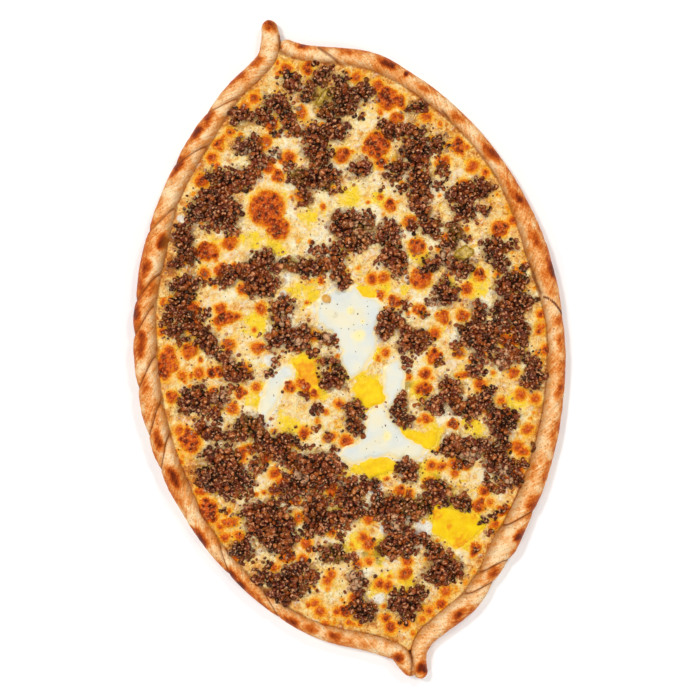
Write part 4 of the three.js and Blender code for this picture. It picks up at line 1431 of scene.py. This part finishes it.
def cheese_look():
    look = Look("melted_cheese")
    toast, white, edge = look.attribute("toast"), look.attribute("white"), look.attribute("edge")
    broad, fine = look.noise(8, 3, 0.6, 0.8), look.noise(2.7, 5, 0.68, 1.2)
    grit = look.noise(1.0, 3, 0.65)
    tan = look.add(look.centred(broad, 0.8), look.centred(fine, 1.2), look.centred(grit, 0.45))
    tan = look.add(tan, look.times(look.attribute("relief"), -0.3), look.times(edge, 0.17))
    tan = look.less(tan, look.times(white, 0.12))
    look.base = look.ramp(look.add(tan, 0.44), [
        (0.1, 0xFFF4CC), (0.28, 0xFFE4A0), (0.44, 0xFACE7A),
        (0.58, 0xECA44A), (0.72, 0xCE7424), (0.95, 0x8A420A),
    ])
    milky = look.add(look.noise(5.5, 4, 0.6, 1.5), look.centred(fine, 0.6), look.times(white, 0.1))
    milky = look.less(milky, look.times(edge, 0.12))
    look.cover(0xFFF6DC, look.span(milky, 0.46, 0.66, 0.0, 0.7))
    # Yellow fat and yolk gather in patches and round the blisters.
    patches = look.centred(look.noise(6, 4, 0.6, 0.8), 2.6)
    yellow = look.add(look.times(look.attribute("stain"), 0.75), patches)
    yellow = look.add(yellow, look.times(toast, 0.8), look.centred(fine, 1.3))
    yellow = look.less(yellow, look.times(edge, 0.25))
    look.cover(0xFFD61C, look.span(yellow, 0.0, 0.85, 0.0, 0.95))
    look.cover(0xF2F0E4, look.patchy("film", fine, 1.2, 0.3, 0.9, 0.0, 0.85))
    look.cover(0xA8881A, look.patchy("olive", fine, 1.6, 0.2, 0.9, 0.0, 0.8))
    # Meat juice and painted shade round the heaps.
    look.cover(0x92522A, look.times(look.patchy("meat_juice_and_shade", fine, 2.6, 0.4, 1.2), 0.6))
    # The blisters, with painted crevice shade and painted glints.
    heat = look.add(toast, look.centred(look.noise(2.0, 4, 0.7), 0.5), look.centred(grit, 0.55), clamp=True)
    toasted = look.ramp(heat, [
        (0.0, 0xFFD440), (0.15, 0xFFBE2C), (0.3, 0xFA9A1C), (0.45, 0xEC6E0C),
        (0.6, 0xD04A06), (0.76, 0x922C02), (0.95, 0x420C00),
    ])
    look.cover(toasted, look.patchy("toast", fine, 0.3, 0.02, 0.32))
    browned = look.span(toast, 0.42, 0.62)
    # Painted shade in the crevices between the bubbles.
    crevice_shade = look.span(look.noise(1.2, 3, 0.6), 0.36, 0.45, 1.0, 0.0)
    look.cover(0x641A02, look.times(look.times(crevice_shade, browned), 0.45))
    glints = look.span(look.noise(1.15, 2, 0.5), 0.54, 0.66)
    look.cover(0xF8A458, look.times(look.times(glints, browned), 0.55))
    # Fine specks away from the blisters, and painted shade as a brown line along the rim.
    speck = look.span(look.noise(0.85, 2, 0.5), 0.60, 0.67)
    speck = look.times(speck, look.span(look.noise(7, 2, 0.5), 0.4, 0.6, 0.05, 0.6))
    look.cover(0x7A3808, look.times(speck, look.span(toast, 0.2, 0.4, 1.0, 0.0)))
    look.cover(0x8A3C08, look.patchy("contact_shade", look.noise(6, 3, 0.6), 0.8, 0.35, 1.1, 0.0, 0.75))
    bubbles = look.times(look.cells(1.4), toast)
    look.bump((fine, 1.3), (grit, 0.5), (bubbles, 0.8))
    return look.finish(look.add(look.span(fine, 0.3, 0.7, 0.1, 0.26), look.times(browned, 0.22)), 0.4, WARM)


def mince_look():
    look = Look("fried_mince")
    grain, patch = look.noise(1.1, 4, 0.65), look.noise(4.5, 3, 0.6)
    tone = look.add(look.times(look.attribute("tint"), 0.64), look.centred(grain, 1.1))
    look.base = look.ramp(look.add(tone, look.centred(patch, 0.7), 0.015), [
        (0.0, 0x1C0500), (0.2, 0x401000), (0.4, 0x702604),
        (0.62, 0xA24A14), (0.82, 0xD28A48), (1.0, 0xFAD0A4),
    ])
    red = look.attribute("red")
    look.cover(0x783024, look.span(red, 0.6, 0.9, 0.0, 0.5))
    look.cover(0xB45C0F, look.span(red, 0.06, 0.22, 0.35, 0.0))
    look.cover(0x7A6410, look.times(look.attribute("olive"), 0.6))
    # Painted shade on the low part of each crumb, darkest in the gaps between crumbs.
    gap_shade = look.span(look.attribute("up"), 0.1, 0.62, 1.0, 0.0)
    look.cover(0x160400, look.times(gap_shade, 0.95))
    glints = look.span(look.noise(1.5, 2, 0.5), 0.53, 0.67)
    look.cover(0xE2A070, look.times(glints, look.span(gap_shade, 0.0, 0.5, 0.85, 0.0)))
    look.cover(0xE0B488, look.times(look.patchy("veil", grain, 1.2, 0.3, 1.0), 0.75))
    look.bump((look.noise(1.0, 3, 0.6), 0.7))
    return look.finish(look.add(look.span(grain, 0.3, 0.7, 0.12, 0.28), look.times(gap_shade, 0.6)), 0.5, WARM)


def white_look():
    look = Look("egg_white")
    look.base = look.ramp(look.noise(11, 3, 0.5), [(0.32, 0xC6CBC6), (0.48, 0xD2D1C1), (0.66, 0xDCD3B2)])
    look.cover(0xF2D894, look.span(look.attribute("depth"), -1.2, 1.7, 1.0, 0.0))
    look.cover(0xF2DC80, look.times(look.attribute("ring"), 0.75))
    look.cover(0xD8960C, look.span(look.attribute("dome"), 0.05, 0.6, 0.0, 0.85))
    look.bump((look.noise(5, 2, 0.5), 0.15))
    return look.finish(0.3, 0.3)


def yolk_look():
    look = Look("egg_yolk")
    look.base = look.ramp(look.noise(5, 3, 0.5), [(0.3, 0xE2AC00), (0.5, 0xE8BE00), (0.7, 0xECCA04)])
    mottle = look.noise(2.2, 4, 0.7, 0.8)
    look.cover(0xE89400, look.span(mottle, 0.55, 0.75, 0.0, 0.5))
    look.cover(0xFCDC30, look.span(mottle, 0.28, 0.45, 0.7, 0.0))
    look.cover(0xF4CE38, look.patchy("depth", mottle, 5.0, -0.8, 1.6, 0.7, 0.0))
    look.cover(0xE07A0C, look.times(look.patchy("baked", look.noise(3, 4, 0.65), 2.4, 0.3, 1.3), 0.8))
    look.bump((look.noise(3, 2, 0.5), 0.15))
    return look.finish(0.35, 0.15, WARM)


def pepper_look():
    look = Look("green_pepper")
    cloud = look.noise(2.2, 4, 0.65)
    look.base = look.ramp(cloud, [(0.3, 0x6E4A0C), (0.45, 0xA27C1C), (0.6, 0xCAA63C), (0.75, 0xEAD080)])
    look.bump((look.noise(1.6, 3, 0.5), 0.6))
    return look.finish(0.2, 0.5)


def speck_look():
    look = Look("black_pepper")
    look.base = look.ramp(look.attribute("tint"), [(0.0, 0x1C0C04), (0.5, 0x3C1C08), (1.0, 0x7A4010)])
    return look.finish(0.9, 0.0)


# ---------------------------------------------------------------------------------------------
# Assembly.


def dress(piece, material):
    piece.data.materials.clear()
    piece.data.materials.append(material)
    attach(piece, "root")
    return piece


bread = dress(build_bread(Noise(10)), crust_look())
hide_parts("bread")
cheese = dress(build_cheese(), cheese_look())
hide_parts("cheese")
mince_material = mince_look()
for heap_piece in build_mince():
    dress(heap_piece, mince_material)
dress(build_loose_crumbs(), mince_material)
dress(build_pools("egg_white_pool", "egg_white", WHITE_NODES), white_look())
dress(build_pools("egg_yolk_pool", "yolk", YOLK_NODES), yolk_look())
dress(build_pools("pepper_strips", "pepper", PEPPER_NODES), pepper_look())
dress(build_specks(), speck_look())


# ---------------------------------------------------------------------------------------------
# Floor, lights and camera, in metres.

HALF_FLOOR = 3.0
FLOOR_TONE = 0xF7F7F7
TURN = 13.2357
VIEW_WIDTH = 0.3722
FOOD_PLANE = 0.009
LENS = 100.0
SENSOR = 36.0
AIM = (0.00006, -0.00093)
WORLD_STRENGTH = 0.32

# Round area lights, all aimed at the origin: name, place, size, watts.
LIGHTS = [
    ("key", (-0.6, 0.7, 1.75), 0.3, 14.5),
    ("north_east", (0.8, 0.7, 1.4), 0.2, 5.6),
    ("south_west", (-0.9, -0.7, 1.3), 0.2, 4.4),
    ("south_east", (0.9, -0.8, 1.3), 0.2, 4.4),
    ("overhead", (0.0, 0.0, 2.2), 0.4, 9.0),
]


def build_floor():
    mesh = bpy.data.meshes.new("floor")
    corners = [(x * HALF_FLOOR, y * HALF_FLOOR, 0) for x, y in ((-1, -1), (1, -1), (1, 1), (-1, 1))]
    mesh.from_pydata(corners, [], [(0, 1, 2, 3)])
    floor = link_object("floor", mesh)
    look = Look("pale_floor")
    look.base = colour(FLOOR_TONE)
    floor.data.materials.append(look.finish(0.9, 0.1))


def build_lights():
    for name, place, size, watts in LIGHTS:
        data = bpy.data.lights.new(name, "AREA")
        data.shape = "DISK"
        data.size = size
        data.energy = watts
        light = link_object(name, data)
        light.location = place
        light.rotation_euler = (-Vector(place)).to_track_quat("-Z", "Y").to_euler()
    world = bpy.data.worlds.new("studio")
    world.use_nodes = True
    background = world.node_tree.nodes["Background"]
    background.inputs["Color"].default_value = (1, 1, 1, 1)
    background.inputs["Strength"].default_value = WORLD_STRENGTH
    bpy.context.scene.world = world


def build_camera():
    data = bpy.data.cameras.new("camera")
    data.lens = LENS
    data.sensor_width = SENSOR
    camera = link_object("camera", data)
    camera.location = (*AIM, FOOD_PLANE + VIEW_WIDTH * LENS / SENSOR)
    camera.rotation_euler = (0, 0, -math.radians(TURN))
    bpy.context.scene.camera = camera


build_floor()
build_lights()
build_camera()
bpy.context.scene.view_settings.view_transform = "Standard"
